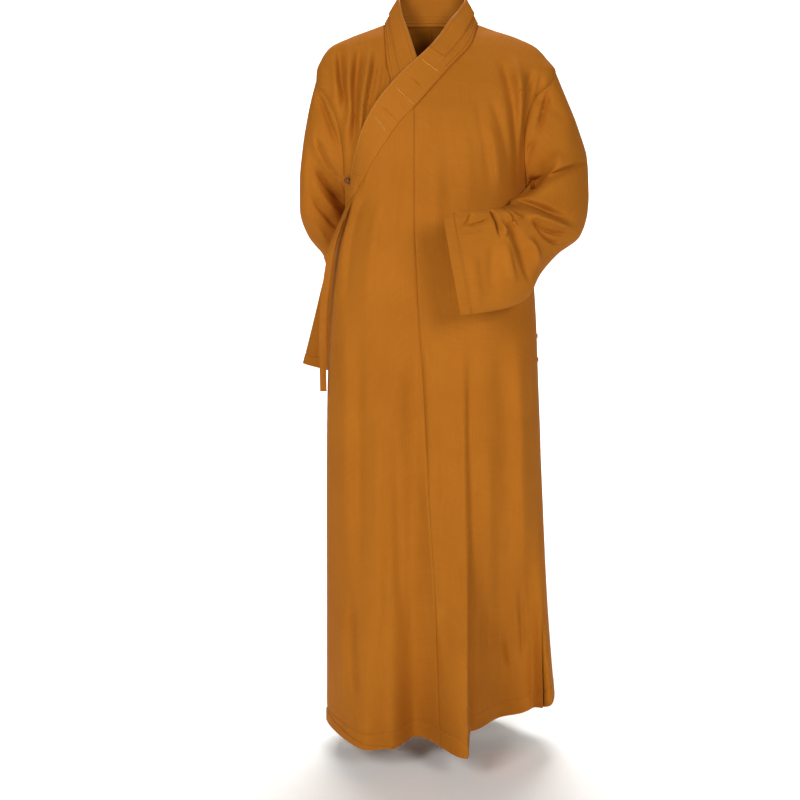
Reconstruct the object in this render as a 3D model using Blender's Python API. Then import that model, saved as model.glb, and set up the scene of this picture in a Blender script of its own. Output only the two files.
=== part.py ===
# Meditation robe, worn form: a long cross-over robe in ochre plain cloth.
# Metres, +Z up. +X is the wearer's left, -Y is the front.
# The origin is at the base of the neck, level with the tops of the shoulders.

import math

import bmesh
import bpy
import numpy as np


def table(columns, rows):
    """Turn rows of numbers into one array for each named column."""
    return dict(zip(columns.split(), np.array(rows, dtype=float).T))


# Cloth
CLOTH_WALL = 0.0018
COLLAR_WALL = 0.0030
GUARD_WALL = 0.0014
TIE_WALL = 0.0012
SEAM_GAP = 0.0003
TURNED_GAP = 0.0005
SLOPE_STEP = 0.0005

# Lengths from the neck down
NECK_HEIGHT = 0.003
HEM_HEIGHT = -1.392
LEFT_RISE = 0.055
RIGHT_RISE = 0.028
LEVEL_HEIGHT = -0.335

# The body of the robe, one row for each level: right and left sides in X,
# front and back depths from the side line, the side line in Y, and how square
# the section is (2 is an ellipse).
BODY = table(
    "height right left front back side power",
    [
        (0.003, -0.0890, 0.0870, 0.000, 0.055, 0.000, 2.30),
        (-0.009, -0.1220, 0.1210, 0.018, 0.064, 0.000, 2.32),
        (-0.020, -0.1520, 0.1560, 0.032, 0.072, 0.000, 2.36),
        (-0.040, -0.1930, 0.1980, 0.048, 0.080, 0.000, 2.45),
        (-0.060, -0.2080, 0.2170, 0.062, 0.088, 0.000, 2.60),
        (-0.085, -0.2180, 0.2350, 0.078, 0.098, 0.000, 2.70),
        (-0.104, -0.2190, 0.2330, 0.089, 0.103, 0.000, 2.70),
        (-0.130, -0.2060, 0.2120, 0.101, 0.110, 0.000, 2.70),
        (-0.156, -0.1950, 0.1990, 0.111, 0.115, 0.000, 2.70),
        (-0.200, -0.1840, 0.1910, 0.121, 0.120, 0.000, 2.60),
        (-0.260, -0.1730, 0.1850, 0.130, 0.124, 0.000, 2.50),
        (-0.320, -0.1660, 0.1815, 0.136, 0.123, 0.000, 2.40),
        (-0.420, -0.1820, 0.1920, 0.142, 0.119, 0.000, 2.30),
        (-0.520, -0.1910, 0.2030, 0.142, 0.119, 0.002, 2.30),
        (-0.720, -0.2000, 0.2145, 0.144, 0.126, 0.008, 2.30),
        (-0.920, -0.2030, 0.2260, 0.150, 0.130, 0.016, 2.30),
        (-1.130, -0.2050, 0.2400, 0.160, 0.132, 0.028, 2.30),
        (-1.392, -0.2080, 0.2650, 0.180, 0.126, 0.045, 2.30),
    ],
)

# Long folds of the front from their start down to the hem: where each line
# starts, where it meets the hem, and how far it stands out there.
FRONT_FOLDS = table(
    "start_x start_height hem_x out",
    [
        (-0.190, -0.90, -0.215, 0.000),
        (-0.120, -0.80, -0.132, 0.030),
        (-0.085, -0.85, -0.080, 0.004),
        (-0.035, -0.95, -0.026, -0.062),
        (0.066, -0.72, 0.071, 0.046),
        (0.080, -0.92, 0.083, -0.086),
        (0.130, -0.88, 0.150, -0.134),
        (0.180, -0.90, 0.212, -0.105),
        (0.215, -0.95, 0.262, 0.000),
    ],
)
BACK_FOLDS = table(
    "start_x start_height hem_x out",
    [
        (-0.200, -0.90, -0.210, 0.000),
        (-0.140, -0.70, -0.150, 0.022),
        (-0.085, -0.75, -0.080, -0.024),
        (-0.015, -0.55, -0.012, 0.026),
        (0.055, -0.70, 0.062, -0.028),
        (0.125, -0.60, 0.142, 0.026),
        (0.180, -0.80, 0.210, -0.012),
        (0.215, -0.90, 0.265, 0.000),
    ],
)
FOLD_GROWTH = 1.4

# Short folds seen from the front, from one end to the other in X and Z, with
# their half width and how far they stand out. Negative ones are troughs.
CHEST_FOLDS = table(
    "from_x from_z to_x to_z width out",
    [
        (0.126, -0.080, 0.168, -0.300, 0.016, -0.006),
        (0.150, -0.090, 0.180, -0.280, 0.010, 0.004),
        (0.090, -0.140, 0.120, -0.420, 0.022, -0.004),
        (-0.110, -0.060, -0.120, -0.140, 0.012, -0.006),
        (-0.150, -0.090, -0.140, -0.240, 0.014, -0.006),
        (0.060, -0.560, 0.068, -1.000, 0.026, 0.008),
        (-0.020, -0.880, -0.030, -1.200, 0.024, -0.006),
    ],
)
BACK_CHEST_FOLDS = table(
    "from_x from_z to_x to_z width out",
    [
        (-0.120, -0.100, -0.140, -0.300, 0.018, -0.006),
        (0.125, -0.100, 0.150, -0.310, 0.018, -0.006),
        (0.000, -0.300, -0.010, -0.560, 0.030, -0.006),
    ],
)
LEFT_SLEEVE_FOLDS = table(
    "from_x from_z to_x to_z width out",
    [
        (0.224, -0.085, 0.232, -0.170, 0.011, -0.007),
        (0.232, -0.170, 0.186, -0.296, 0.012, -0.007),
        (0.296, -0.248, 0.192, -0.292, 0.010, -0.007),
        (0.165, -0.330, 0.272, -0.358, 0.013, -0.012),
        (0.150, -0.335, 0.222, -0.420, 0.012, -0.006),
        (0.130, -0.345, 0.166, -0.480, 0.012, -0.005),
        (0.250, -0.200, 0.282, -0.300, 0.014, 0.005),
    ],
)
RIGHT_SLEEVE_FOLDS = table(
    "from_x from_z to_x to_z width out",
    [
        (-0.218, -0.100, -0.182, -0.200, 0.011, -0.007),
        (-0.236, -0.180, -0.192, -0.290, 0.011, -0.006),
        (-0.246, -0.330, -0.196, -0.300, 0.010, -0.007),
        (-0.240, -0.390, -0.186, -0.360, 0.010, -0.006),
    ],
)

# Collar, one row for each step round it, from its end at the wearer's right
# underarm over the chest, round the neck and down under the overlap: the seam
# as seen from the front, and the free edge.
COLLAR = table(
    "seam_x seam_z edge_x edge_y edge_z",
    [
        (-0.1540, -0.3210, -0.1545, -0.060, -0.303),
        (-0.1340, -0.2910, -0.1470, -0.076, -0.256),
        (-0.1150, -0.2560, -0.1410, -0.084, -0.229),
        (-0.0890, -0.2170, -0.1280, -0.097, -0.188),
        (-0.0590, -0.1750, -0.1040, -0.100, -0.143),
        (-0.0340, -0.1500, -0.0800, -0.098, -0.113),
        (-0.0110, -0.1250, -0.0530, -0.094, -0.085),
        (0.0140, -0.0970, -0.0280, -0.084, -0.062),
        (0.0410, -0.0680, -0.0020, -0.070, -0.038),
        (0.0600, -0.0490, 0.0140, -0.052, -0.019),
        (0.0740, -0.0320, 0.0330, -0.034, 0.008),
        (0.0810, -0.0140, 0.0480, -0.014, 0.025),
        (0.0870, 0.0030, 0.0620, 0.004, 0.047),
        (0.0767, 0.0030, 0.0560, 0.030, 0.058),
        (0.0476, 0.0030, 0.0340, 0.050, 0.064),
        (0.0000, 0.0030, 0.0000, 0.056, 0.066),
        (-0.0480, 0.0030, -0.0340, 0.050, 0.064),
        (-0.0780, 0.0030, -0.0560, 0.030, 0.058),
        (-0.0890, 0.0030, -0.0610, 0.004, 0.047),
        (-0.0890, -0.0140, -0.0560, -0.020, 0.018),
        (-0.0880, -0.0310, -0.0460, -0.043, -0.010),
        (-0.0860, -0.0600, -0.0370, -0.060, -0.038),
        (-0.0800, -0.0880, -0.0280, -0.074, -0.066),
        (-0.0670, -0.1430, -0.0140, -0.086, -0.111),
        (-0.0450, -0.2000, 0.0080, -0.098, -0.165),
    ],
)
COLLAR_END = 0
CENTRE_TOP = 5
NECK_LEFT = 12
NECK_BACK = 15
NECK_RIGHT = 18
UNDER_END = 24
COLLAR_PROUD = 0.0012
GUARD_FROM = 8.1
GUARD_TO = 22.8
GUARD_OFF = 0.0010
COLLAR_SHARES = (0.0, 0.3, 0.62, 1.0)
GUARD_SHARES = 3

# Centre-front seam, and the free edge of the overlap at the wearer's right.
CENTRE_SEAM = table(
    "height x",
    [
        (-0.150, -0.0340),
        (-0.320, -0.0340),
        (-0.500, -0.0270),
        (-0.690, -0.0150),
        (-0.880, -0.0050),
        (-1.080, 0.0070),
        (-1.280, 0.0140),
        (-1.392, 0.0190),
    ],
)
OVERLAP_EDGE = table(
    "height angle",
    [
        (-0.321, 156.0),
        (-0.360, 162.0),
        (-0.420, 167.0),
        (-0.520, 170.0),
        (-0.900, 172.0),
        (-1.392, 172.0),
    ],
)
UNDER_EDGE = table("height x", [(-0.200, -0.0450), (-0.420, 0.0100), (-1.392, 0.0400)])
SLIT_EDGE = table(
    "height angle",
    [(-0.316, 0.0), (-0.620, 0.0), (-0.800, 4.0), (-1.000, 12.0), (-1.200, 21.0), (-1.392, 29.0)],
)
SLIT_TOP = 0.45
SLIT_LIFT = 0.0040
OVERLAP_LIFT = 0.0050
UNDER_DROP = 0.0090
UNDER_HEM_DROP = 0.0220

# Armholes: half ovals on the side of the body.
LEFT_ARMHOLE = {"top": -0.085, "bottom": -0.316, "depth": 0.068}
RIGHT_ARMHOLE = {"top": -0.100, "bottom": -0.312, "depth": 0.060}

# Sleeves, one row for each section from the armhole to the cuff: the outer
# and the inner point, the half widths to the front and to the back, and how
# far the front face has turned to the wearer's left, in degrees.
LEFT_SLEEVE = table(
    "out_x out_y out_z in_x in_y in_z front back turn",
    [
        (0.235, 0.000, -0.085, 0.181, 0.000, -0.316, 0.068, 0.062, 0),
        (0.254, 0.000, -0.130, 0.195, -0.026, -0.304, 0.068, 0.056, 4),
        (0.277, 0.000, -0.187, 0.186, -0.078, -0.302, 0.062, 0.046, 10),
        (0.295, -0.010, -0.253, 0.164, -0.110, -0.312, 0.056, 0.040, 16),
        (0.296, -0.022, -0.305, 0.147, -0.124, -0.320, 0.054, 0.036, 20),
        (0.291, -0.040, -0.346, 0.144, -0.138, -0.326, 0.050, 0.031, 28),
        (0.273, -0.065, -0.392, 0.137, -0.155, -0.328, 0.047, 0.027, 34),
        (0.228, -0.095, -0.424, 0.131, -0.168, -0.329, 0.042, 0.025, 38),
        (0.193, -0.125, -0.461, 0.124, -0.180, -0.330, 0.037, 0.023, 40),
        (0.172, -0.150, -0.498, 0.113, -0.191, -0.330, 0.032, 0.021, 41),
        (0.134, -0.180, -0.513, 0.095, -0.203, -0.331, 0.027, 0.018, 41),
        (0.095, -0.205, -0.517, 0.056, -0.220, -0.332, 0.018, 0.013, 24),
        (0.050, -0.228, -0.520, 0.017, -0.242, -0.339, 0.013, 0.010, -8),
    ],
)
RIGHT_SLEEVE = table(
    "out_x out_y out_z in_x in_y in_z front back turn",
    [
        (-0.218, 0.000, -0.100, -0.167, 0.000, -0.312, 0.060, 0.056, 0),
        (-0.232, 0.000, -0.150, -0.177, 0.002, -0.302, 0.058, 0.058, 0),
        (-0.246, 0.005, -0.221, -0.170, 0.064, -0.330, 0.050, 0.056, 4),
        (-0.253, 0.012, -0.290, -0.158, 0.098, -0.366, 0.044, 0.054, 12),
        (-0.252, 0.025, -0.345, -0.155, 0.112, -0.404, 0.038, 0.048, 25),
        (-0.234, 0.055, -0.400, -0.142, 0.130, -0.440, 0.030, 0.044, 38),
        (-0.204, 0.092, -0.452, -0.118, 0.158, -0.478, 0.026, 0.040, 37),
        (-0.222, 0.128, -0.520, -0.085, 0.176, -0.555, 0.026, 0.034, 20),
        (-0.243, 0.148, -0.600, -0.060, 0.182, -0.645, 0.026, 0.030, 11),
        (-0.261, 0.155, -0.669, -0.045, 0.182, -0.722, 0.026, 0.028, 7),
    ],
)
ARMHOLE_FADE = 1.6

# Fastening under the wearer's right arm: a ribbon tie sewn to the overlap's
# corner, as steps from its root with the turn of its width, and a knot button
# at the free edge of the collar.
TIE = table(
    "x y z turn",
    [
        (0.0000, 0.0000, 0.000, -62.0),
        (-0.0066, -0.0024, -0.015, -62.0),
        (-0.0185, -0.0060, -0.042, -52.0),
        (-0.0320, -0.0060, -0.080, -34.0),
        (-0.0430, 0.0000, -0.135, -16.0),
        (-0.0510, 0.0100, -0.200, 0.0),
        (-0.0545, 0.0200, -0.280, 4.0),
        (-0.0535, 0.0240, -0.376, 6.0),
    ],
)
TIE_ROOT_X = -0.1520
TIE_ROOT_HEIGHT = -0.3260
TIE_WIDTH = 0.013
TIE_OFF = 0.0032
KNOT_STEP = 0.3
KNOT_RADIUS = 0.0062
KNOT_OUT = 0.0042

# Grid sizes
ARMHOLE_ROWS = 10
SEAM_ROWS = 7
SKIRT_ROWS = 17
LOWER_ROWS = ARMHOLE_ROWS + SKIRT_ROWS - SEAM_ROWS
ARMHOLE_SHARE = 0.2
FRONT_COLUMNS = 20
OVERLAP_COLUMNS = 14
UNDER_COLUMNS = 12
BACK_COLUMNS = 12
LEFT_SLEEVE_ROWS = 24
RIGHT_SLEEVE_ROWS = 18
TIE_ROWS = 14

CLOTH_COLOUR = (0.434, 0.152, 0.016, 1.0)
TRIM_COLOUR = (0.352, 0.118, 0.013, 1.0)
KNOT_COLOUR = (0.560, 0.245, 0.050, 1.0)


def clear_scene():
    for item in list(bpy.data.objects):
        bpy.data.objects.remove(item, do_unlink=True)


def make_collection(name):
    collection = bpy.data.collections.new(name)
    bpy.context.scene.collection.children.link(collection)
    return collection


def make_material(name, colour, roughness):
    material = bpy.data.materials.new(name)
    material.use_nodes = True
    shader = material.node_tree.nodes["Principled BSDF"]
    shader.inputs["Base Color"].default_value = colour
    shader.inputs["Roughness"].default_value = roughness
    shader.inputs["Metallic"].default_value = 0.0
    return material


def smooth_step(value):
    """Ease from 0 to 1 with level ends."""
    part = np.clip(value, 0.0, 1.0)
    return part * part * (3.0 - 2.0 * part)


def along(position, places, values):
    """Smooth curve through the values at the given places, with no overshoot, ends held."""
    order = np.argsort(places)
    places = np.asarray(places)[order]
    values = np.asarray(values)[order]
    rates = np.diff(values) / np.diff(places)
    turning = rates[:-1] * rates[1:] <= 0
    total = np.where(turning, 1.0, rates[:-1] + rates[1:])
    inside = np.where(turning, 0.0, 2 * rates[:-1] * rates[1:] / total)
    slopes = np.concatenate([rates[:1], inside, rates[-1:]])
    position = np.clip(position, places[0], places[-1])
    index = np.clip(np.searchsorted(places, position) - 1, 0, len(places) - 2)
    width = places[index + 1] - places[index]
    part = (position - places[index]) / width
    square = part * part
    cube = square * part
    start = (2 * cube - 3 * square + 1) * values[index]
    start_slope = (cube - 2 * square + part) * width * slopes[index]
    end = (3 * square - 2 * cube) * values[index + 1]
    end_slope = (cube - square) * width * slopes[index + 1]
    return start + start_slope + end + end_slope


def read(source, key, position, name):
    """One named column of a table, read smoothly at a position in its key column."""
    return along(position, source[key], source[name])


def read_rows(source, position, name):
    """One named column, read smoothly between row numbers."""
    return along(position, np.arange(len(source[name]), dtype=float), source[name])


def long_folds(x, height, folds):
    """How far the cloth stands out: folds lead down to the hem, blended across."""
    total = np.zeros_like(x)
    lines = []
    for start_x, start, hem_x, out in zip(
        folds["start_x"], folds["start_height"], folds["hem_x"], folds["out"]
    ):
        part = np.clip((start - height) / (start - HEM_HEIGHT), 0.0, 1.0)
        lines.append((start_x + (hem_x - start_x) * part, out * part**FOLD_GROWTH))
    for (near_x, near_out), (far_x, far_out) in zip(lines[:-1], lines[1:]):
        part = (x - near_x) / (far_x - near_x)
        inside = (part >= 0.0) & (part < 1.0)
        total += np.where(inside, near_out + (far_out - near_out) * smooth_step(part), 0.0)
    return total


def short_folds(x, height, folds):
    """Sum of soft troughs and ridges along short lines, fading at both ends."""
    total = np.zeros_like(x)
    for from_x, from_z, to_x, to_z, width, out in zip(*folds.values()):
        run_x, run_z = to_x - from_x, to_z - from_z
        part = ((x - from_x) * run_x + (height - from_z) * run_z) / (run_x**2 + run_z**2)
        held = np.clip(part, 0.0, 1.0)
        away = np.hypot(x - from_x - held * run_x, height - from_z - held * run_z)
        total += out * np.exp(-((away / width) ** 2)) * (0.35 + 0.65 * np.sin(math.pi * held))
    return total


def body_angle(x, height):
    """Angle round the body at which its front has this X at this height."""
    right = read(BODY, "height", height, "right")
    left = read(BODY, "height", height, "left")
    power = read(BODY, "height", height, "power")
    share = np.clip((2 * x - left - right) / (left - right), -1.0, 1.0)
    return np.arccos(np.sign(share) * np.abs(share) ** (power / 2))


def body_shape(angle, height):
    """Plain surface of the body: a rounded section at each level.

    The angle is 0 at the wearer's left, 90 degrees in front, 180 at the right.
    """
    right = read(BODY, "height", height, "right")
    left = read(BODY, "height", height, "left")
    front = read(BODY, "height", height, "front")
    back = read(BODY, "height", height, "back")
    side = read(BODY, "height", height, "side")
    bend = 2 / read(BODY, "height", height, "power")
    across, out = np.cos(angle), np.sin(angle)
    x = (left + right) / 2 + (left - right) / 2 * np.sign(across) * np.abs(across) ** bend
    reach = np.abs(out) ** bend
    in_front = out > 0
    long_push = np.where(in_front, long_folds(x, height, FRONT_FOLDS), long_folds(x, height, BACK_FOLDS))
    short_push = np.where(
        in_front, short_folds(x, height, CHEST_FOLDS), short_folds(x, height, BACK_CHEST_FOLDS)
    )
    push = (long_push + short_push) * smooth_step(reach / 0.5)
    depth = np.where(in_front, -(front * reach + push), back * reach + push)
    return np.stack([x, side + depth, height], axis=-1)


def normals_of(shape, first, second):
    """Outward unit normals of a surface given as a function of two values."""
    step = SLOPE_STEP
    one = shape(first + step, second) - shape(first - step, second)
    two = shape(first, second + step) - shape(first, second - step)
    normal = np.cross(two, one)
    return normal / np.linalg.norm(normal, axis=-1, keepdims=True)


def coons_patch(top, bottom, left, right, across, down):
    """Fill four edge curves with a grid: the two blends less the corners."""
    s = across[None, :, None]
    t = down[:, None, None]
    rows = (1 - t) * top[None] + t * bottom[None]
    columns = (1 - s) * left[:, None] + s * right[:, None]
    corners = (1 - t) * ((1 - s) * top[0] + s * top[-1]) + t * ((1 - s) * bottom[0] + s * bottom[-1])
    return rows + columns - corners


def pull_in(grid, edges, half=SEAM_GAP / 2):
    """Draw the named edges of a grid in, by half a seam gap unless told otherwise."""
    views = {"top": (0, 1), "bottom": (-1, -2)}
    result = grid.copy()
    for edge in edges:
        if edge in views:
            at, beside = views[edge]
            step = grid[beside] - grid[at]
            result[at] += half * step / np.linalg.norm(step, axis=-1, keepdims=True)
        else:
            at, beside = (0, 1) if edge == "left" else (-1, -2)
            step = grid[:, beside] - grid[:, at]
            result[:, at] += half * step / np.linalg.norm(step, axis=-1, keepdims=True)
    return result


def cloth_wall(name, outer, inner, material, collection, tube=False):
    """Closed cloth wall between an outer and an inner grid of points."""
    rows, columns = outer.shape[:2]
    count = rows * columns
    numbers = np.arange(count).reshape(rows, columns)
    if tube:
        numbers = np.hstack([numbers, numbers[:, :1]])
    near, far = numbers[:-1, :-1], numbers[1:, 1:]
    beside, below = numbers[:-1, 1:], numbers[1:, :-1]
    quads = np.stack([near, beside, far, below], axis=-1).reshape(-1, 4)
    rims = [numbers[0], numbers[-1][::-1]]
    if not tube:
        rims += [numbers[::-1, 0], numbers[:, -1]]
    faces = [quads, quads[:, ::-1] + count]
    for rim in rims:
        faces.append(np.stack([rim[1:], rim[:-1], rim[:-1] + count, rim[1:] + count], axis=-1))
    points = np.concatenate([outer.reshape(-1, 3), inner.reshape(-1, 3)])
    mesh = bpy.data.meshes.new(name)
    mesh.from_pydata(points.tolist(), [], np.concatenate(faces).tolist())
    work = bmesh.new()
    work.from_mesh(mesh)
    bmesh.ops.recalc_face_normals(work, faces=work.faces)
    work.to_mesh(mesh)
    work.free()
    mesh.shade_smooth()
    mesh.set_sharp_from_angle(angle=math.radians(50))
    mesh.materials.append(material)
    item = bpy.data.objects.new(name, mesh)
    collection.objects.link(item)
    return item


def collar_seam(step, side=1.0):
    """Angle and height of the collar seam at a step of the collar table."""
    x = read_rows(COLLAR, step, "seam_x")
    height = read_rows(COLLAR, step, "seam_z")
    return np.stack([side * body_angle(x, height), height], axis=-1)


def neck_seam(step):
    """Angle and height of the collar seam behind the neck."""
    angle = -math.pi * (step - NECK_LEFT) / (NECK_RIGHT - NECK_LEFT)
    return np.stack([angle, np.full_like(angle, NECK_HEIGHT)], axis=-1)


def hem_height(angle):
    """The hem is lowest in front and behind and rises to the sides."""
    across = np.cos(angle)
    return HEM_HEIGHT + np.where(across > 0, LEFT_RISE, RIGHT_RISE) * np.abs(across) ** 3


def armhole_line(hole, share, at_left, in_front):
    """Angle and height along one half of an armhole, from the shoulder down."""
    height = hole["top"] + (hole["bottom"] - hole["top"]) * (1 - np.cos(math.pi * share)) / 2
    depth = read(BODY, "height", height, "front" if in_front else "back")
    power = read(BODY, "height", height, "power")
    reach = np.clip(hole["depth"] * np.sin(math.pi * share) / np.maximum(depth, 0.02), 0.0, 1.0)
    angle = np.arcsin(reach ** (power / 2))
    angle = angle if at_left else math.pi - angle
    return np.stack([angle if in_front else -angle, height], axis=-1)


def panel_rows():
    """Shares of the way down a panel: armhole rows, then skirt rows."""
    upper = np.linspace(0.0, ARMHOLE_SHARE, ARMHOLE_ROWS + 1)
    lower = np.linspace(ARMHOLE_SHARE, 1.0, SKIRT_ROWS + 1)
    return np.concatenate([upper, lower[1:]])


def join_lines(upper, lower):
    return np.concatenate([upper, lower[1:]])


def side_line(top_height, at_left, in_front, slit=False):
    """Side seam from the underarm to the hem. Where it ends in a slit it runs forward."""
    share = np.linspace(0.0, 1.0, SKIRT_ROWS + 1)
    angle = np.full_like(share, 0.0 if at_left else math.pi)
    if slit:
        level = top_height + (HEM_HEIGHT - top_height) * share
        angle = np.radians(read(SLIT_EDGE, "height", level, "angle"))
    height = top_height + (hem_height(angle[-1]) - top_height) * share
    return np.stack([angle if in_front or slit else -angle, height], axis=-1)


def lower_heights(top_height):
    """Row heights at the middle of a panel, level with the underarm where the skirt starts."""
    upper = np.linspace(top_height, LEVEL_HEIGHT, ARMHOLE_ROWS - SEAM_ROWS + 1)
    return join_lines(upper, np.linspace(LEVEL_HEIGHT, HEM_HEIGHT, SKIRT_ROWS + 1))


def edge_line(edge, top_height):
    """A named edge from its top down to the hem, from its X at each height."""
    height = lower_heights(top_height)
    return np.stack([body_angle(read(edge, "height", height, "x"), height), height], axis=-1)


def hem_line(from_angle, to_angle, across):
    angle = from_angle + (to_angle - from_angle) * across
    return np.stack([angle, hem_height(angle)], axis=-1)


def shoulder_line(top_height, angle, across):
    """Shoulder seam from the neck to the armhole."""
    height = NECK_HEIGHT + (top_height - NECK_HEIGHT) * across
    return np.stack([np.full_like(height, angle), height], axis=-1)


def fit_hem(line):
    """Bring the last point of an edge on to the hem curve."""
    line = line.copy()
    line[-1, 1] = hem_height(line[-1, 0])
    return line


def panel(name, patch, lift, edges, material, collection):
    """A body panel on the body surface, lifted off it, with its wall inwards."""
    angle, height = patch[..., 0], patch[..., 1]
    normal = normals_of(body_shape, angle, height)
    outer = pull_in(body_shape(angle, height) + lift[..., None] * normal, edges)
    return cloth_wall(name, outer, outer - CLOTH_WALL * normal, material, collection)


def front_left_patch():
    across = np.interp(np.linspace(0, 1, FRONT_COLUMNS + 1), [0.0, 0.28, 0.58, 1.0], [0.0, 0.2, 0.32, 1.0])
    seam = collar_seam(np.linspace(NECK_LEFT, CENTRE_TOP, SEAM_ROWS + 1))
    centre = edge_line(CENTRE_SEAM, seam[-1, 1])
    left = fit_hem(join_lines(seam, centre))
    share = np.linspace(0, 1, ARMHOLE_ROWS + 1)
    hole = armhole_line(LEFT_ARMHOLE, share, True, True)
    right = join_lines(hole, side_line(LEFT_ARMHOLE["bottom"], True, True, slit=True))
    top = shoulder_line(LEFT_ARMHOLE["top"], 0.0, across)
    bottom = hem_line(left[-1, 0], right[-1, 0], across)
    return coons_patch(top, bottom, left, right, across, panel_rows())


def overlap_patch():
    across = np.linspace(0, 1, OVERLAP_COLUMNS + 1)
    down = np.linspace(0, 1, LOWER_ROWS + 1)
    top = collar_seam(CENTRE_TOP + (COLLAR_END - CENTRE_TOP) * across)
    left = fit_hem(edge_line(CENTRE_SEAM, top[0, 1]))
    height = top[-1, 1] + (HEM_HEIGHT - top[-1, 1]) * down
    edge_angle = np.radians(read(OVERLAP_EDGE, "height", height, "angle"))
    edge_angle[0] = top[-1, 0]
    right = fit_hem(np.stack([edge_angle, height], axis=-1))
    bottom = hem_line(left[-1, 0], right[-1, 0], across)
    return coons_patch(top, bottom, left, right, across, down)


def under_patch():
    across = np.linspace(0, 1, UNDER_COLUMNS + 1)
    seam = collar_seam(np.linspace(NECK_RIGHT, UNDER_END, SEAM_ROWS + 1))
    left = fit_hem(join_lines(seam, edge_line(UNDER_EDGE, seam[-1, 1])))
    share = np.linspace(0, 1, ARMHOLE_ROWS + 1)
    hole = armhole_line(RIGHT_ARMHOLE, share, False, True)
    right = join_lines(hole, side_line(RIGHT_ARMHOLE["bottom"], False, True))
    top = shoulder_line(RIGHT_ARMHOLE["top"], math.pi, across)
    bottom = hem_line(left[-1, 0], right[-1, 0], across)
    return coons_patch(top, bottom, left, right, across, panel_rows())


def slit_lift():
    """The front's edge stands a little proud of the back along the side slit."""
    near = smooth_step((np.linspace(0, 1, FRONT_COLUMNS + 1) - 0.8) / 0.2)
    low = smooth_step((panel_rows() - SLIT_TOP) / (1 - SLIT_TOP))
    return SLIT_LIFT * low[:, None] * near[None, :]


def under_lift(across, down):
    """The underlap drops behind the overlap, level with it at shoulder and side."""
    inward = smooth_step((1 - across) / 0.4)
    below = smooth_step(down / 0.08) * (UNDER_DROP + UNDER_HEM_DROP * down)
    return -below[:, None] * inward[None, :]


def back_patch(at_left):
    across = np.linspace(0, 1, BACK_COLUMNS + 1)
    share = np.linspace(0, 1, ARMHOLE_ROWS + 1)
    hole = LEFT_ARMHOLE if at_left else RIGHT_ARMHOLE
    neck = NECK_LEFT if at_left else NECK_RIGHT
    side_angle = 0.0 if at_left else math.pi
    seam = neck_seam(np.linspace(neck, NECK_BACK, SEAM_ROWS + 1))
    centre_height = lower_heights(NECK_HEIGHT)
    centre = np.stack([np.full_like(centre_height, -math.pi / 2), centre_height], axis=-1)
    left = join_lines(seam, centre)
    right = join_lines(
        armhole_line(hole, share, at_left, False),
        side_line(hole["bottom"], at_left, False, slit=at_left),
    )
    top = shoulder_line(hole["top"], -side_angle, across)
    bottom = hem_line(left[-1, 0], right[-1, 0], across)
    return coons_patch(top, bottom, left, right, across, panel_rows())


def sleeve_shape(sleeve, hole, at_left, folds):
    """Sleeve surface as a function of the way round and the way along it.

    Round 0 is the outer line, 0.5 the front face, 1 the inner line and 1.5 the
    back face. Along 0 is the armhole.
    """

    def oval(around, step):
        def value(name):
            return read_rows(sleeve, step, name)

        outer = np.stack([value("out_x"), value("out_y"), value("out_z")], axis=-1)
        inner = np.stack([value("in_x"), value("in_y"), value("in_z")], axis=-1)
        turn = np.radians(value("turn"))
        face = np.stack([np.sin(turn), -np.cos(turn), np.zeros_like(turn)], axis=-1)
        swing = np.sin(math.pi * around)
        depth = np.where(swing > 0, value("front"), value("back")) * swing
        middle = (outer + inner) / 2
        half = (outer - inner) / 2
        return middle + half * np.cos(math.pi * around)[..., None] + face * depth[..., None]

    def shape(around, step):
        around = np.mod(around, 2.0)
        share = np.where(around <= 1.0, around, 2.0 - around)
        front = armhole_line(hole, share, at_left, True)
        back = armhole_line(hole, share, at_left, False)
        line = np.where((around <= 1.0)[..., None], front, back)
        seam = body_shape(line[..., 0], line[..., 1])
        fade = 1 - smooth_step(step / ARMHOLE_FADE)
        points = oval(around, step)
        points = points + (seam - oval(around, np.zeros_like(step))) * fade[..., None]
        in_front = smooth_step(np.sin(math.pi * around) * 2)
        push = short_folds(points[..., 0], points[..., 2], folds) * in_front
        push = push * smooth_step(step / 0.6)
        turn = np.radians(read_rows(sleeve, step, "turn"))
        face = np.stack([np.sin(turn), -np.cos(turn), np.zeros_like(turn)], axis=-1)
        return points + push[..., None] * face

    return shape


def make_sleeve(name, sleeve, hole, at_left, folds, rows, material, collection):
    last = len(sleeve["turn"]) - 1
    shape = sleeve_shape(sleeve, hole, at_left, folds)
    around = np.arange(2 * ARMHOLE_ROWS) / ARMHOLE_ROWS
    along_sleeve = np.linspace(0, last, rows + 1)
    around, step = np.meshgrid(around, along_sleeve)
    outer = shape(around, step)
    step_in = np.clip(step, SLOPE_STEP, last - SLOPE_STEP)
    normal = normals_of(shape, around, step_in)
    middle = outer.mean(axis=1, keepdims=True)
    if np.sum(normal * (outer - middle)) < 0:
        normal = -normal
    share = np.where(around <= 1.0, around, 2.0 - around)[0]
    front = armhole_line(hole, share, at_left, True)
    back = armhole_line(hole, share, at_left, False)
    line = np.where((around[0] <= 1.0)[:, None], front, back)
    normal[0] = normals_of(body_shape, line[:, 0], line[:, 1])
    outer = pull_in(outer, ["top"], TURNED_GAP)
    return cloth_wall(name, outer, outer - CLOTH_WALL * normal, material, collection, tube=True)


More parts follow.
